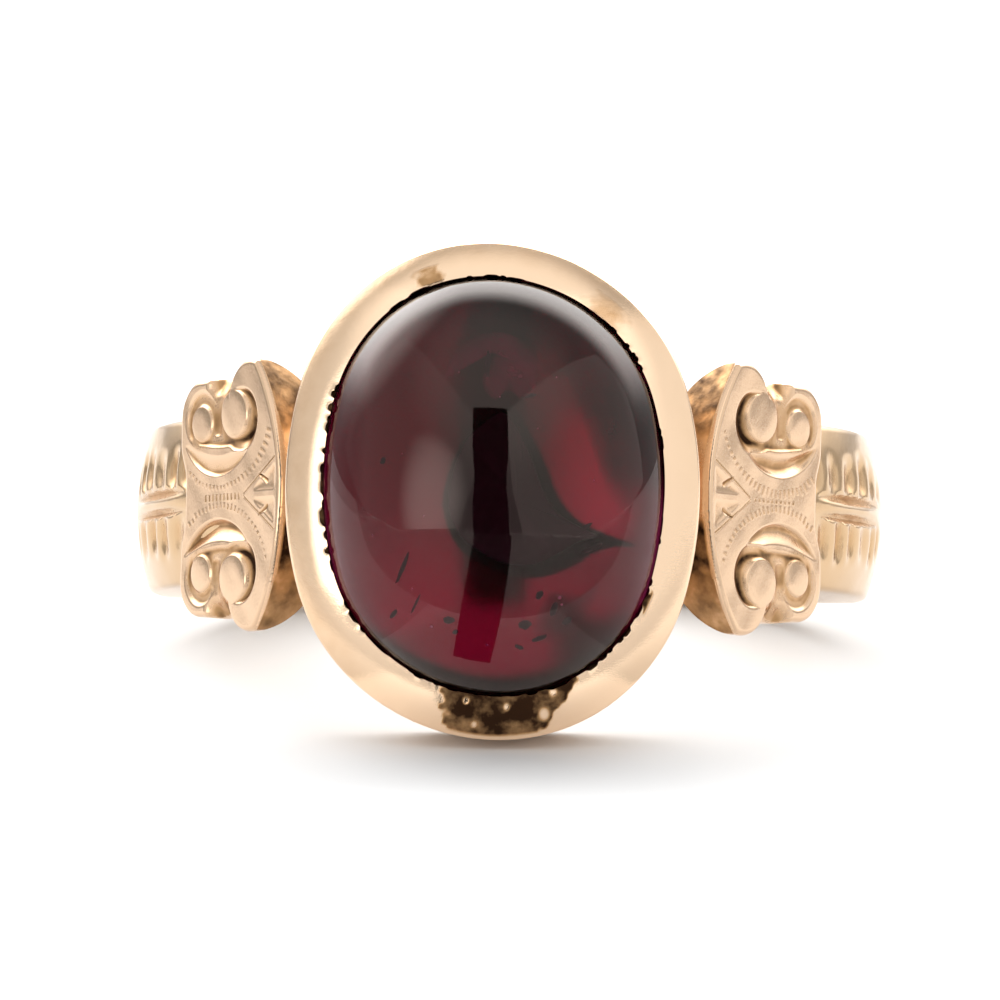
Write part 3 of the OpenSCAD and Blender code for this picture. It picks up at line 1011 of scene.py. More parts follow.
def stone_outline(line, normals, stone, height=None):
    """Outline of the stone at a height, or at its girdle."""
    part = 1.0
    if height is not None:
        girdle_top = stone.base_height + stone.girdle_height
        part = math.sqrt(1 - ((height - girdle_top) / stone.dome_height) ** 2)
    return (line - normals * stone.inset) * part + (stone.seat_right, stone.seat_above)


def lip_wear(degrees, depth):
    """How far the lip is worn back at each angle round the stone."""
    worn = 0.015 * (1 + np.sin(np.radians(7 * degrees) + 1)) * 0.5
    for start, end, size in WORN_LIP:
        middle, number = start, 0
        while middle < end:
            pick = [float(jitter(start + number, salt)) for salt in (3, 4, 5)]
            half = 1.0 + 3.6 * pick[0] ** 2
            away = np.abs((degrees - middle + 180) % 360 - 180) / half
            bite = rise(1.7 * (1 - away)) * (0.3 + 0.7 * pick[1])
            worn = np.maximum(worn, depth * size * bite)
            middle += half + 0.4 + 5 * pick[2] ** 2
            number += 1
    return worn


def band_darkening_and_reflections(degrees, t):
    """How dark the band is painted at each angle, from its edge at nought to its lip at one: a
    faint darkening near the edge, stronger from the upper right over the top and down the left,
    and the painted dark reflections.
    """
    wobble = 1.6 * hand_work(0.5 * degrees, 7 * t, 1.0)
    upper_left = rise(np.minimum(degrees - 35, 250 - degrees) / 25)
    total = 0.13 * rise(1.25 - 1.5 * t) * (0.25 + 0.75 * upper_left)
    for start, end, widen, low, high, soft, value in BAND_DARK_REFLECTIONS:
        inside = np.minimum(degrees + wobble - start + widen[0] * t, end + widen[1] * t - degrees - wobble)
        along = rise((t - low) / 0.1) * rise((high - t) / 0.06 + 0.5)
        total = np.maximum(total, value * rise(inside / soft) * along)
    for middle, place, reach in BRIGHT_SPOTS:
        away = np.hypot(degrees - middle, 9 * (t - place)) / reach
        total = total * rise(away - 0.4)
    return total


def collet_wall(c, inner):
    """Rows of the collet's underside and outer wall: offset from the widest line, height, and
    how dark it is painted.

    inner is how far inside that line the inner wall lies."""
    rows = [
        (-inner, c.base_height + BASE_SUNK, 0.2),
        (-inner, c.base_height + 0.04, 0),
        (-inner + 0.04, c.base_height, 0),
    ]
    for turn in (0, 30, 60, 90):
        t = math.radians(turn)
        offset = -c.wall_lean - FOOT_ROUND * (1 - math.sin(t))
        rows.append((offset, c.base_height + FOOT_ROUND * (1 - math.cos(t)), 0))
    wall_foot, swell = c.base_height + FOOT_ROUND, 0.02
    for t in np.linspace(0, 1, 9)[1:-1]:
        offset = -c.wall_lean * (1 - t) + swell * math.sin(math.pi * t)
        rows.append((offset, wall_foot + (c.edge_height - c.base_height - FOOT_ROUND) * t, 0))
    for turn in (0, 11.25, 22.5, 33.75, 45):
        t = math.radians(turn)
        above = EDGE_BREAK * math.sin(t) / math.sin(math.pi / 4)
        rows.append((-EDGE_IN * (1 - math.cos(t)), c.edge_height + above, 0))
    return rows


def collet_mesh(c, stone):
    """Points, faces and painted darkening of the collet, swept round the oval, with a flat floor:
    painted dark reflections on its band, painted shade under the lip and down the seat.
    """
    line, normals = oval_frame(c, 0.055)
    degrees = np.degrees(np.arctan2(line[:, 1], line[:, 0])) % 360
    worn = lip_wear(degrees, c.chip_depth)
    girdle_top = stone.base_height + stone.girdle_height
    floor_top = stone.base_height - SEAT_PLAY
    inner = stone.inset - SEAT_PLAY
    sections, shades = [], []

    def add_row(flat, z, shade):
        """A row of points round the collet, with its height and how dark it is painted."""
        sections.append(np.column_stack([flat, np.zeros(len(line)) + z]))
        shades.append(np.zeros(len(line)) + shade)

    for offset, z, shade in collet_wall(c, inner):
        add_row(line + normals * offset, z, shade)

    low = c.edge_height + EDGE_BREAK
    edge = line - normals * (EDGE_IN * (1 - math.cos(math.pi / 4)))
    lip = stone_outline(line, normals, stone, c.lip_height) + normals * LIP_GAP
    wave = BAND_WAVE * hand_work(line[:, 0], line[:, 1], 1.6)
    steps, bulge, lip_round, worn_part = 24, 0.6, 0.02, 0.2
    for k in range(1, steps + 1):
        t = k / steps
        rounded = (1 + bulge) * t - bulge * t * t
        height = low + (c.lip_height - low) * rounded + wave * math.sin(math.pi * t)
        flat = edge + (lip + normals * lip_round - edge) * t
        near_lip = max(0.0, (t - (1 - worn_part)) / worn_part)
        flat = flat + normals * (worn * near_lip**2)[:, None]
        add_row(flat, height, band_darkening_and_reflections(degrees, t))
    for back, drop, shade in LIP_ROWS:
        add_row(lip + normals * (back + worn)[:, None], c.lip_height - drop, shade)
    # Painted shade in the crevice round the stone's edge.
    for drop in (0.17, 0.23):
        height = c.lip_height - drop
        add_row(stone_outline(line, normals, stone, height) + normals * 0.01, height, 1)

    # Painted shade down the seat, beside the stone's girdle.
    seat_rows = (
        (-inner - 0.05, c.lip_height - 0.3, 1),
        (-inner, girdle_top, 0.95),
        (-inner, floor_top + 0.02, 0),
    )
    for offset, z, shade in seat_rows:
        add_row(line + normals * offset, z, shade)

    rows, columns = len(sections), len(line)
    points = np.concatenate(sections)
    faces = sheet_faces(rows, columns, False, True)
    shade = np.concatenate(shades)
    for z, row, flip in ((floor_top, rows - 1, False), (c.base_height + BASE_SUNK, 0, True)):
        middle = len(points)
        points = np.vstack([points, [0, 0, z]])
        shade = np.append(shade, 0.1)
        for k in range(columns):
            a, b = row * columns + k, row * columns + (k + 1) % columns
            faces.append((b, a, middle) if flip else (a, b, middle))
    return points, faces, shade


def stone_mesh(c, stone):
    """Points, faces and shade of the cabochon: a flat back, an upright girdle and a dome. The
    shade is painted at its rim, where the lip hides it.
    """
    line, normals = oval_frame(c, 0.2)
    outline = stone_outline(line, normals, stone) - (stone.seat_right, stone.seat_above)
    seat = np.array([stone.seat_right, stone.seat_above, 0])
    half = c.width / 2 - stone.inset
    girdle_top = stone.base_height + stone.girdle_height
    back_edge = 1 - stone.bevel / half
    profile = [(0.35, 0), (0.75, 0), (back_edge, 0), (1, stone.bevel), (1, 0.5 * stone.girdle_height)]
    profile = [(part, stone.base_height + z) for part, z in profile]
    rings = 44
    for k in range(rings):
        a = math.pi / 2 * k / rings
        profile.append((math.cos(a), girdle_top + stone.dome_height * math.sin(a)))
    sections = [np.column_stack([outline * part, np.full(len(line), z)]) for part, z in profile]
    ends = np.array([[0, 0, stone.base_height], [0, 0, girdle_top + stone.dome_height]])
    points = np.concatenate([*sections, ends]) + seat
    rows, columns = len(profile), len(line)
    faces = sheet_faces(rows, columns, False, True)
    back, apex = rows * columns, rows * columns + 1
    for k in range(columns):
        nxt = (k + 1) % columns
        faces.append((nxt, k, back))
        faces.append(((rows - 1) * columns + k, (rows - 1) * columns + nxt, apex))
    height = points[:, 2]
    # Painted shade round the stone's rim, up to just above the lip.
    shade = rise((c.lip_height + 0.1 - height) / 0.16) * (height > stone.base_height + 0.3)
    return points, faces, shade


def smooth_outline(corners, count=VEIL_POINTS):
    """A closed smooth curve through the given points."""
    corners = np.array(corners, dtype=float)
    total = len(corners)
    points = []
    for k in range(count):
        place = k * total / count
        i, t = int(place), place - int(place)
        a, b, c, d = (corners[(i + step) % total] for step in (-1, 0, 1, 2))
        square, cube = 2 * a - 5 * b + 4 * c - d, 3 * b - a - 3 * c + d
        points.append(0.5 * (2 * b + (c - a) * t + square * t**2 + cube * t**3))
    return np.array(points)


def seen_through(points, depth):
    """Where points lie that the dome shows at the given places, at a depth below its top."""
    bend = SIGHT_BEND * depth
    return np.asarray(points) * (1 - bend / DOME_RADII[0], 1 - bend / DOME_RADII[1])


def flake(middle, outline, thickness, wave):
    """Points and faces of a thin uneven flake that lies across the stone's axis."""
    rows = []
    for side, rings in ((1, VEIL_RINGS[::-1]), (-1, VEIL_RINGS[1:])):
        for part in rings:
            flat = outline * part
            edge = 0 if part == 1 else 0.5 * thickness * side
            up = wave * hand_work(4 * flat[:, 0], 4 * flat[:, 1]) + edge
            rows.append(np.column_stack([flat, up]))
    count = len(outline)
    points = np.concatenate(rows) + middle
    faces = sheet_faces(len(rows), count, False, True)
    first, last = len(points), len(points) + 1
    points = np.vstack([points, rows[0].mean(0) + middle, rows[-1].mean(0) + middle])
    last_row = (len(rows) - 1) * count
    for k in range(count):
        nxt = (k + 1) % count
        faces.append((nxt, k, first))
        faces.append((last_row + k, last_row + nxt, last))
    return points, faces


def veil(outline, depth, top):
    """Points and faces of a thin sheet with this outline, at a depth below the dome's top."""
    flat = seen_through(smooth_outline(outline), depth)
    middle = flat.mean(0)
    return flake(np.array([*middle, top - depth]), flat - middle, 0.06, 0.05)


def fleck(number, row, top):
    """Points and faces of a dark fleck, at a depth of its own below the dome's top."""
    x, y, reach, ratio, turn = row
    depth = FLECK_DEPTH[0] + FLECK_DEPTH[1] * float(jitter(number, 6))
    a = np.radians(np.arange(0, 360, 15))
    ragged = 1 + 0.3 * (jitter(np.arange(len(a)), number) - 0.5)
    flat = np.column_stack([reach * np.cos(a) * ragged, reach / ratio * np.sin(a) * ragged])
    c, s = math.cos(math.radians(turn)), math.sin(math.radians(turn))
    flat = flat @ np.array([[c, s], [-s, c]])
    place = seen_through((x, y), depth)
    return flake(np.array([*place, top - depth]), flat * FLECK_SHARE, 0.03, 0.02)


def ball(middle, radius):
    """Points and faces of a small round ball."""
    x, y, z = middle
    around, turns = 8, (60, 0, -60)
    points = [[x, y, z + radius]]
    for turn in turns:
        e = math.radians(turn)
        out = radius * math.cos(e)
        for k in range(around):
            a = 2 * math.pi * k / around
            points.append([x + out * math.cos(a), y + out * math.sin(a), z + radius * math.sin(e)])
    points.append([x, y, z - radius])
    last = len(points) - 1
    sides = sheet_faces(len(turns), around, False, True)
    faces = [tuple(1 + i for i in reversed(face)) for face in sides]
    for k in range(around):
        nxt = (k + 1) % around
        faces.append((0, 1 + k, 1 + nxt))
        faces.append((last, last - around + nxt, last - around + k))
    return np.array(points), faces


def speck(number, row, top, dome_height):
    """Points and faces of a pale speck that stands in for a glint, at a depth of its own below the
    dome's face.
    """
    x, y, radius = row
    depth = SPECK_DEPTH[0] + SPECK_DEPTH[1] * float(jitter(number, 7))
    out = (x / DOME_HALF[0]) ** 2 + (y / DOME_HALF[1]) ** 2
    face = top - dome_height * (1 - math.sqrt(1 - out))
    return ball((*seen_through((x, y), depth), face - depth * SPECK_SHARE), radius)


def join_parts(parts):
    """Joins parts, each given as points and faces."""
    points, faces, start = [], [], 0
    for part, part_faces in parts:
        points.append(part)
        faces += [tuple(i + start for i in face) for face in part_faces]
        start += len(part)
    return np.concatenate(points), faces


# Finishes


def new_material(name):
    """An empty node material with its Principled shader, and a helper to add nodes."""
    material = bpy.data.materials.new(name)
    material.use_nodes = True
    tree = material.node_tree
    shader = tree.nodes["Principled BSDF"]

    def add(kind, inputs=None, **values):
        """A new node, with its inputs linked or set, and its settings."""
        node = tree.nodes.new(kind)
        for key, value in values.items():
            setattr(node, key, value)
        for key, value in (inputs or {}).items():
            if isinstance(value, bpy.types.NodeSocket):
                tree.links.new(value, node.inputs[key])
            else:
                node.inputs[key].default_value = value
        return node

    return material, tree, shader, add


def gold_finish(name, base, wear):
    """Polished rose gold: soft wear, fine scratches along one direction, and each point's painted
    darkening: grime and painted shade in its cuts and hollows, painted dark reflections on the
    collet.
    """
    finish = bpy.context.scene.ring_finish
    roughness = finish.gold_roughness * wear.rough
    material, tree, shader, add = new_material(name)
    place = add("ShaderNodeTexCoord").outputs["Object"]
    cloud = add("ShaderNodeTexNoise", {"Vector": place, "Scale": GOLD_CLOUDS, "Detail": 4.0}).outputs["Fac"]
    stretched = add("ShaderNodeMapping", {"Vector": place, "Scale": wear.scratch}).outputs["Vector"]
    scratch = add(
        "ShaderNodeTexNoise", {"Vector": stretched, "Scale": 1.0, "Detail": 3.0, "Roughness": 0.7}
    ).outputs["Fac"]
    # How dark each point is painted: grime, painted shade and painted dark reflections.
    painted = add("ShaderNodeAttribute", attribute_name="paint_amount").outputs["Fac"]
    mottle = add("ShaderNodeTexNoise", {"Vector": place, "Scale": GOLD_MOTTLE, "Detail": 5.0}).outputs["Fac"]
    patchy = add(
        "ShaderNodeMapRange",
        {"Value": mottle, "From Min": 0.3, "From Max": 0.7, "To Min": 0.55, "To Max": 1.35},
    ).outputs["Result"]
    product = add("ShaderNodeMath", {0: painted, 1: patchy}, operation="MULTIPLY", use_clamp=True)
    grime_and_shade = product.outputs["Value"]

    def blend(factor, first, second):
        """A mix of two colours."""
        node = add("ShaderNodeMix", data_type="RGBA")
        for socket, value in (("Factor", factor), (6, first), (7, second)):
            if isinstance(value, bpy.types.NodeSocket):
                tree.links.new(value, node.inputs[socket])
            else:
                node.inputs[socket].default_value = (*value, 1)
        return node.outputs[2]

    def part_of(low, high):
        """How much of the grime and painted shade lies between two amounts."""
        ramp = add("ShaderNodeMapRange", {"Value": grime_and_shade, "From Min": low, "From Max": high})
        return ramp.outputs["Result"]

    def bump(strength, distance, height, under=None):
        """Surface relief, on top of the relief under it."""
        inputs = {"Strength": strength, "Distance": distance, "Height": height}
        if under is not None:
            inputs["Normal"] = under
        return add("ShaderNodeBump", inputs).outputs["Normal"]

    clean = blend(cloud, base, [min(1, 1.07 * part) for part in base])
    # Browner, then nearly black, where more grime, painted shade and painted dark reflection lie.
    brown = blend(part_of(0, 0.5), clean, finish.brown_gold)
    tree.links.new(blend(part_of(0.4, 1.0), brown, finish.recess), shader.inputs["Base Color"])

    low, high = 0.75 * roughness, 1.5 * roughness
    spread = add(
        "ShaderNodeMapRange",
        {"Value": scratch, "From Min": 0.3, "From Max": 0.75, "To Min": low, "To Max": high},
    ).outputs["Result"]
    rough = add("ShaderNodeMath", {0: grime_and_shade, 1: 0.45, 2: spread}, operation="MULTIPLY_ADD")
    tree.links.new(rough.outputs["Value"], shader.inputs["Roughness"])
    shader.inputs["Metallic"].default_value = 1

    lumps = add("ShaderNodeMath", {0: mottle, 1: grime_and_shade}, operation="MULTIPLY").outputs["Value"]
    pitted = bump(0.5, PITS, lumps)
    scratched = bump(0.12, SCRATCHES, scratch, pitted)
    tree.links.new(bump(wear.dents, DENTS, cloud, scratched), shader.inputs["Normal"])
    return material


def garnet_finish():
    """Deep red garnet: clear, strongly coloured, with a faintly worn polish, painted darker
    towards its upper end and at its rim.
    """
    finish = bpy.context.scene.ring_finish
    material, tree, shader, add = new_material("deep_garnet")
    place = add("ShaderNodeTexCoord").outputs["Object"]
    cloud = add("ShaderNodeTexNoise", {"Vector": place, "Scale": GARNET_CLOUDS, "Detail": 5.0}).outputs["Fac"]
    axis = ring_place().to_3x3().col[1].normalized() / MM
    # Painted shade: the garnet's colour darkens towards the upper end of the stone.
    height = add("ShaderNodeVectorMath", {0: place, 1: axis}, operation="DOT_PRODUCT").outputs["Value"]
    shifted = add("ShaderNodeMath", {0: cloud, 1: 2.0, 2: height}, operation="MULTIPLY_ADD").outputs["Value"]
    centre = ring_place().translation.dot(axis)
    upwards = add(
        "ShaderNodeMapRange",
        {"Value": shifted, "From Min": centre + SHADED_ZONE[0], "From Max": centre + SHADED_ZONE[1]},
        interpolation_type="SMOOTHSTEP",
    ).outputs["Result"]
    tone = add("ShaderNodeMix", data_type="RGBA")
    tree.links.new(upwards, tone.inputs["Factor"])
    tone.inputs[6].default_value = (*finish.garnet, 1)
    tone.inputs[7].default_value = (*finish.shaded_garnet, 1)
    # Painted shade at the stone's rim, in the veil colour.
    rim = add("ShaderNodeAttribute", attribute_name="paint_amount").outputs["Fac"]
    edge = add("ShaderNodeMix", data_type="RGBA")
    tree.links.new(rim, edge.inputs["Factor"])
    tree.links.new(tone.outputs[2], edge.inputs[6])
    edge.inputs[7].default_value = (*finish.veil, 1)
    tree.links.new(edge.outputs[2], shader.inputs["Base Color"])
    shader.inputs["Transmission Weight"].default_value = 1
    shader.inputs["IOR"].default_value = GARNET_IOR
    shader.inputs["Specular Tint"].default_value = (0.46, 0.39, 0.35, 1)
    wear = add(
        "ShaderNodeMapRange",
        {"Value": cloud, "From Min": 0.35, "From Max": 0.75, "To Min": 0.012, "To Max": 0.05},
    ).outputs["Result"]
    tree.links.new(wear, shader.inputs["Roughness"])
    depth = add("ShaderNodeVolumeAbsorption")
    depth.inputs["Color"].default_value = (*finish.garnet, 1)
    depth.inputs["Density"].default_value = finish.garnet_depth / MM
    tree.links.new(depth.outputs["Volume"], tree.nodes["Material Output"].inputs["Volume"])
    return material


def fault_finish(name, tint, soft=False):
    """Mottled finish of the faults, and of the painted dark reflection sheet, inside the garnet. A
    soft one thins out by the amount that each point holds.
    """
    material, tree, shader, add = new_material(name)
    place = add("ShaderNodeTexCoord").outputs["Object"]
    cloud = add("ShaderNodeTexNoise", {"Vector": place, "Scale": FAULT_MOTTLE, "Detail": 5.0}).outputs["Fac"]
    tone = add("ShaderNodeMix", data_type="RGBA")
    tree.links.new(cloud, tone.inputs["Factor"])
    tone.inputs[6].default_value = (*(Vector(tint) * 0.5), 1)
    tone.inputs[7].default_value = (*tint, 1)
    tree.links.new(tone.outputs[2], shader.inputs["Base Color"])
    shader.inputs["Roughness"].default_value = 0.5
    if soft:
        body = add("ShaderNodeAttribute", attribute_name="paint_amount").outputs["Fac"]
        thin = add("ShaderNodeMath", {0: cloud, 1: 1.5}, operation="MULTIPLY").outputs["Value"]
        alpha = add("ShaderNodeMath", {0: body, 1: thin}, operation="MULTIPLY", use_clamp=True)
        tree.links.new(alpha.outputs["Value"], shader.inputs["Alpha"])
    return material


# Operators


class RING_OT_shank(bpy.types.Operator):
    """Build the band round the finger, with a leaf on each side"""

    bl_idname = "ring.shank"
    bl_label = "Shank"

    def execute(self, context):
        scene = context.scene
        s, c = in_mm(scene.ring_shank), in_mm(scene.ring_collet)
        points, faces, paint_amount = shank_mesh(s, c.base_height + SHANK_IN_COLLET)
        material = gold_finish("shank_gold", scene.ring_finish.shank_gold, SHANK_WEAR)
        add_piece("shank", points, faces, material, "gold_mount", "gold", 42, paint_amount)
        return {"FINISHED"}


class RING_OT_shoulders(bpy.types.Operator):
    """Build the two carved shoulders"""

    bl_idname = "ring.shoulders"
    bl_label = "Shoulders"

    def execute(self, context):
        scene = context.scene
        s = in_mm(scene.ring_shoulders)
        s.plate_slope = scene.ring_shoulders.plate_slope
        s.curl_slope = scene.ring_shoulders.curl_slope
        material = gold_finish("carved_gold", scene.ring_finish.carved_gold, SHOULDER_WEAR)
        for name, side in (("shoulder_right", 1), ("shoulder_left", -1)):
            points, faces, paint_amount, carved = shoulder_points(s, scene.ring_shank.side_width / MM, side)
            placed = shoulder_in_ring(points, s, side)
            turned = faces if side > 0 else [tuple(reversed(f)) for f in faces]
            add_piece(name, placed, turned, material, "gold_mount", "gold", 40, paint_amount, carved)
        return {"FINISHED"}


class RING_OT_collet(bpy.types.Operator):
    """Build the rub-over collet, with its worn lip"""

    bl_idname = "ring.collet"
    bl_label = "Collet"

    def execute(self, context):
        scene = context.scene
        points, faces, paint_amount = collet_mesh(in_mm(scene.ring_collet), in_mm(scene.ring_stone))
        material = gold_finish("collet_gold", scene.ring_finish.gold, COLLET_WEAR)
        add_piece("collet", points, faces, material, "gold_mount", "gold", 45, paint_amount)
        return {"FINISHED"}


class RING_OT_stone(bpy.types.Operator):
    """Build the domed garnet"""

    bl_idname = "ring.stone"
    bl_label = "Garnet"

    def execute(self, context):
        scene = context.scene
        points, faces, shade = stone_mesh(in_mm(scene.ring_collet), in_mm(scene.ring_stone))
        add_piece("garnet_cabochon", points, faces, garnet_finish(), "garnet", "garnet", 50, shade)
        return {"FINISHED"}


class RING_OT_faults(bpy.types.Operator):
    """Build the painted dark reflection sheet, the veils and flecks, and the pale specks that stand in for
    glints, inside the garnet
    """

    bl_idname = "ring.faults"
    bl_label = "Faults"

    def execute(self, context):
        scene = context.scene
        finish, stone = scene.ring_finish, in_mm(scene.ring_stone)
        top = stone.base_height + stone.girdle_height + stone.dome_height
        veils = [
            veil(DARK_REFLECTION_SHEET, VEIL_DEPTH, top),
            veil(RIGHT_VEIL, VEIL_DEPTH, top),
            veil(LOWER_VEIL, VEIL_DEPTH, top),
            veil(UPPER_ARC, ARC_DEPTH, top),
            veil(UPPER_PATCH, PATCH_DEPTH, top),
        ]
        # A dark sheet that stands in for a dark reflection inside the stone: a painted reflection. Its finish
        # also colours the dark flecks.
        dark = fault_finish("dark_reflection_and_flecks", finish.veil)
        add_piece("dark_reflection_and_flecks", *veils[0], dark, None, "garnet", 50)
        one = np.concatenate([np.repeat(VEIL_FADE, VEIL_POINTS), [1, 1]])
        fade = np.tile(one, 2)
        dim = fault_finish("dim_veil", finish.dim_veil, True)
        add_piece("dim_veils", *join_parts(veils[1:3]), dim, None, "garnet", 50, fade)
        pale = fault_finish("pale_veil", finish.pale_veil, True)
        add_piece("pale_veils", *join_parts(veils[3:]), pale, None, "garnet", 50, 0.6 * fade + 0.1)

        flecks = [fleck(k, row, top) for k, row in enumerate(FLECKS)]
        add_piece("dark_flecks", *join_parts(flecks), dark, None, "garnet", 50)

        # Pale specks that stand in for small glints: painted highlights.
        specks = [speck(k, row, top, stone.dome_height) for k, row in enumerate(GLINTS)]
        pale = fault_finish("glint_speck_finish", finish.speck)
        add_piece("glint_specks", *join_parts(specks), pale, None, "garnet", 50)
        return {"FINISHED"}


# Stage


def plain_finish(name, tint, glow=0.0):
    """A plain finish for the floor and for cards, with a glow of its own."""
    material, _, shader, _ = new_material(name)
    shader.inputs["Base Color"].default_value = (*tint, 1)
    shader.inputs["Roughness"].default_value = 0.9
    shader.inputs["Emission Color"].default_value = (1, 1, 1, 1)
    shader.inputs["Emission Strength"].default_value = glow
    return material


def shade_finish(name, inner, outer, strength):
    """Black in the middle of a card, fading to nothing from inner to outer."""
    material, tree, shader, add = new_material(name)
    shader.inputs["Base Color"].default_value = (*BLACK, 1)
    place = add("ShaderNodeTexCoord").outputs["Object"]
    away = add("ShaderNodeVectorMath", {0: place}, operation="LENGTH").outputs["Value"]
    fade = add(
        "ShaderNodeMapRange",
        {"Value": away, "From Min": outer, "From Max": inner, "To Max": strength},
        interpolation_type="SMOOTHSTEP",
    ).outputs["Result"]
    tree.links.new(fade, shader.inputs["Alpha"])
    return material


def add_panel(name, corners, material):
    """A flat four-sided panel of the stage."""
    mesh = bpy.data.meshes.new(name)
    mesh.from_pydata([tuple(c) for c in corners], [], [(0, 1, 2, 3)])
    mesh.materials.append(material)
    panel = bpy.data.objects.new(name, mesh)
    bpy.context.scene.collection.objects.link(panel)
    return panel


def pale_world(brightness, glows):
    """A pale surround with soft glows.

    A glow is its brightness and its ramps. Each ramp is a direction and the two shares of
    that direction between which the glow rises from nothing to full."""
    world = bpy.data.worlds.new("pale_surround")
    world.use_nodes = True
    tree = world.node_tree
    background = tree.nodes["Background"]
    background.inputs["Color"].default_value = (1, 1, 1, 1)
    outwards = tree.nodes.new("ShaderNodeTexCoord").outputs["Generated"]

    def combine(operation, first, second):
        """The result of a sum or product."""
        node = tree.nodes.new("ShaderNodeMath")
        node.operation = operation
        for k, value in enumerate((first, second)):
            if isinstance(value, bpy.types.NodeSocket):
                tree.links.new(value, node.inputs[k])
            else:
                node.inputs[k].default_value = value
        return node.outputs["Value"]

    total = brightness
    for strength, ramps in glows:
        glow = strength
        for direction, low, high in ramps:
            dot = tree.nodes.new("ShaderNodeVectorMath")
            dot.operation = "DOT_PRODUCT"
            dot.inputs[1].default_value = direction
            tree.links.new(outwards, dot.inputs[0])
            ramp = tree.nodes.new("ShaderNodeMapRange")
            ramp.interpolation_type = "SMOOTHSTEP"
            ramp.inputs["From Min"].default_value = low
            ramp.inputs["From Max"].default_value = high
            tree.links.new(dot.outputs["Value"], ramp.inputs["Value"])
            glow = combine("MULTIPLY", glow, ramp.outputs["Result"])
        total = combine("ADD", total, glow)
    tree.links.new(total, background.inputs["Strength"])
    return world


def add_softbox(name, centre, target, width, height, brightness, roll=0):
    """An area light that faces the target, with an even brightness over its face."""
    light = bpy.data.lights.new(name, "AREA")
    light.shape = "RECTANGLE"
    light.size, light.size_y = width, height
    light.energy = SOFTBOX.watts * width * height * brightness
    box = bpy.data.objects.new(name, light)
    aim = (Vector(target) - Vector(centre)).to_track_quat("-Z", "Y").to_matrix().to_4x4()
    box.matrix_world = Matrix.Translation(centre) @ aim @ Matrix.Rotation(math.radians(roll), 4, "Z")
    bpy.context.scene.collection.objects.link(box)
    return box


def add_card(name, corners, material):
    """A panel that shows in polished metal and in the stone alone."""
    card = add_panel(name, corners, material)
    card.visible_camera = False
    card.visible_diffuse = False
    card.visible_shadow = False
    return card


def studio_axes():
    """The ring's directions across, along and up, and the point that the studio lies round."""
    place = ring_place()
    across, along, up = (place.col[k].to_3d().normalized() for k in range(3))
    return across, along, up, place.translation + up * STONE_OUT


def toward(azimuth, elevation, far):
    """A point seen from the stone, in degrees off its axis to the right and upwards."""
    across, along, up, stone = studio_axes()
    a, e = math.radians(azimuth), math.radians(elevation)
    level = across * math.sin(a) + up * math.cos(a)
    return stone + (level * math.cos(e) + along * math.sin(e)) * far


def studio_world(studio):
    """The pale surround with its four glows."""
    _, along, up, stone = studio_axes()
    back = [(-up, *BACK_GLOW[0]), (along, *BACK_GLOW[1])]
    glows = [(studio.back_glow, back)]
    for strength, (azimuth, elevation, low, high) in (
        (studio.top_glow, TOP_GLOW),
        (studio.high_left_glow, HIGH_LEFT_GLOW),
        (studio.left_glow, LEFT_GLOW),
    ):
        glows.append((strength, [(toward(azimuth, elevation, 1) - stone, low, high)]))
    return pale_world(studio.surround, glows)


def add_softboxes(studio):
    """The softboxes to the left and to the right of the stone."""
    _, along, _, stone = studio_axes()
    far = SOFTBOX.far
    for name, (azimuth, roll), light in (
        ("left_softbox", LEFT_SOFTBOX, studio.left_light),
        ("right_softbox", RIGHT_SOFTBOX, studio.right_light),
    ):
        level = toward(azimuth, 0, far)
        spot = level + along * (SOFTBOX.up * far)
        width, height = SOFTBOX.width * far, SOFTBOX.height * far
        add_softbox(name, spot, spot + stone - level, width, height, light, roll)


def add_floor_card(name, places, lift, material):
    """A card just above the floor, with its corners at x and y from under the stone."""
    *_, foot = studio_axes()
    foot.z = CARD_HEIGHT
    add_card(name, [foot + Vector((x, y, lift)) for x, y in places], material)


def add_cards():
    """The dark and pale cards that show in the polished gold and in the stone."""
    across, along, _, stone = studio_axes()
    black = plain_finish("black_card", BLACK)
    far = GAP.far
    half, low, high = (far * math.tan(math.radians(turn)) for turn in (GAP.half, GAP.low, GAP.high))
    middle = toward(GAP.azimuth, 0, far)
    places = ((-half, low), (half, low), (half, high), (-half, high))
    add_card("gap_card", [middle + across * x + along * y for x, y in places], black)
    add_floor_card("floor_gap_card", FLOOR_GAP, 0, black)

    front = shade_finish("front_shade", *FRONT_FADE)
    add_floor_card("front_shade_card", FRONT_SHADE, CARD_STEP, front)
    pale = plain_finish("pale_card", (0.8, 0.8, 0.8), 0.12)
    add_floor_card("near_floor_card", NEAR_FLOOR, -CARD_STEP, pale)

    square = ((-1, -1, 0), (1, -1, 0), (1, 1, 0), (-1, 1, 0))
    card = add_card("side_shade_card", square, shade_finish("side_shade", *SIDE_FADE))
    spot = toward(SIDE_CARD.azimuth, SIDE_CARD.elevation, SIDE_CARD.far)
    facing = (stone - spot).to_track_quat("Z", "Y").to_matrix().to_4x4()
    card.matrix_world = Matrix.Translation(spot) @ facing @ Matrix.Scale(SIDE_CARD.half, 4)


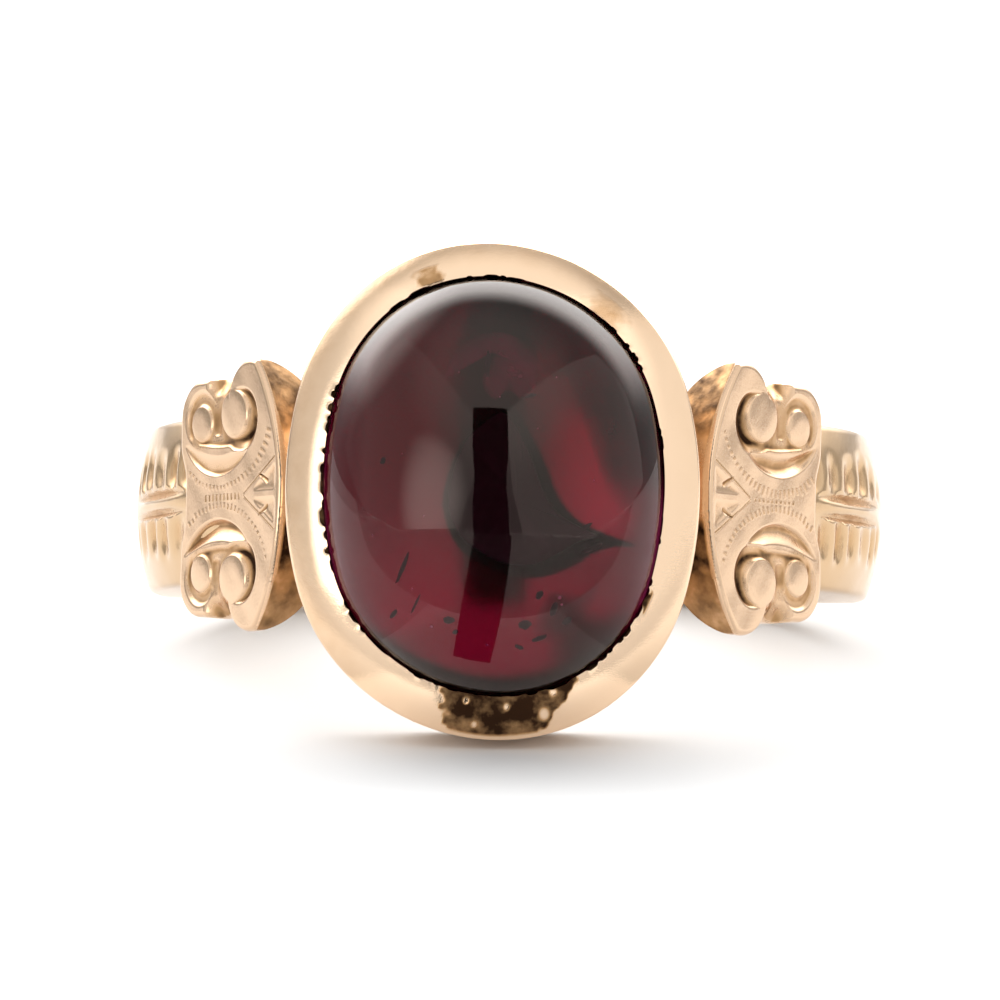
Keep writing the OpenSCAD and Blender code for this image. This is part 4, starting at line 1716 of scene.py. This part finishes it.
def add_camera(studio):
    """The camera, at the photo's angle to the ring."""
    across, along, up, _ = studio_axes()
    data = bpy.data.cameras.new("camera")
    data.lens = studio.lens
    data.sensor_width = 36
    data.clip_start, data.clip_end = 0.01, 20
    camera = bpy.data.objects.new("camera", data)
    bpy.context.scene.collection.objects.link(camera)
    back = up + across * math.tan(studio.camera_right) - along * math.tan(studio.camera_low)
    back.normalize()
    right = Vector((0, 0, 1)).cross(back).normalized()
    above = back.cross(right)
    turn = Matrix((right, above, back)).transposed().to_4x4()
    aim = ring_place().translation - right * studio.aim_left + above * studio.aim_above
    camera.matrix_world = Matrix.Translation(aim + back * studio.camera_distance) @ turn
    return camera


class RING_OT_stage(bpy.types.Operator):
    """Set the floor, the soft studio light and the camera"""

    bl_idname = "ring.stage"
    bl_label = "Stage"

    def execute(self, context):
        scene = context.scene
        studio = scene.ring_studio
        floor, reach = plain_finish("pale_floor", studio.floor), 3
        corners = ((-reach, -reach, 0), (reach, -reach, 0), (reach, reach, 0), (-reach, reach, 0))
        add_panel("floor", corners, floor)
        scene.world = studio_world(studio)
        add_softboxes(studio)
        add_cards()
        scene.camera = add_camera(studio)
        scene.view_settings.view_transform = "Standard"
        return {"FINISHED"}


class RING_PT_panel(bpy.types.Panel):
    """Lists the ring's operators and sizes"""

    bl_idname = "RING_PT_panel"
    bl_label = "Garnet Ring"
    bl_space_type = "VIEW_3D"
    bl_region_type = "UI"
    bl_category = "Garnet Ring"

    def draw(self, context):
        for step in STEPS:
            self.layout.operator(step.bl_idname)
        for key, group in GROUPS.items():
            box = self.layout.box()
            box.label(text=group.__doc__)
            for name in group.__annotations__:
                box.prop(getattr(context.scene, key), name)


GROUPS = {
    "ring_shank": ShankSizes,
    "ring_collet": ColletSizes,
    "ring_stone": StoneSizes,
    "ring_shoulders": ShoulderSizes,
    "ring_finish": Finish,
    "ring_studio": Studio,
}
STEPS = (
    RING_OT_shank,
    RING_OT_shoulders,
    RING_OT_collet,
    RING_OT_stone,
    RING_OT_faults,
    RING_OT_stage,
)


def register():
    """Registers the classes and hangs the settings on the scene."""
    for group in GROUPS.values():
        bpy.utils.register_class(group)
    for key, group in GROUPS.items():
        setattr(bpy.types.Scene, key, PointerProperty(type=group))
    for step in (*STEPS, RING_PT_panel):
        bpy.utils.register_class(step)


def unregister():
    """Takes the classes and settings away again."""
    for step in (*STEPS, RING_PT_panel):
        bpy.utils.unregister_class(step)
    for key, group in GROUPS.items():
        delattr(bpy.types.Scene, key)
        bpy.utils.unregister_class(group)


def main():
    register()
    bpy.ops.ring.shank()
    bpy.ops.ring.shoulders()
    bpy.ops.ring.collet()
    bpy.ops.ring.stone()
    bpy.ops.ring.faults()
    bpy.ops.ring.stage()


if __name__ == "__main__":
    main()
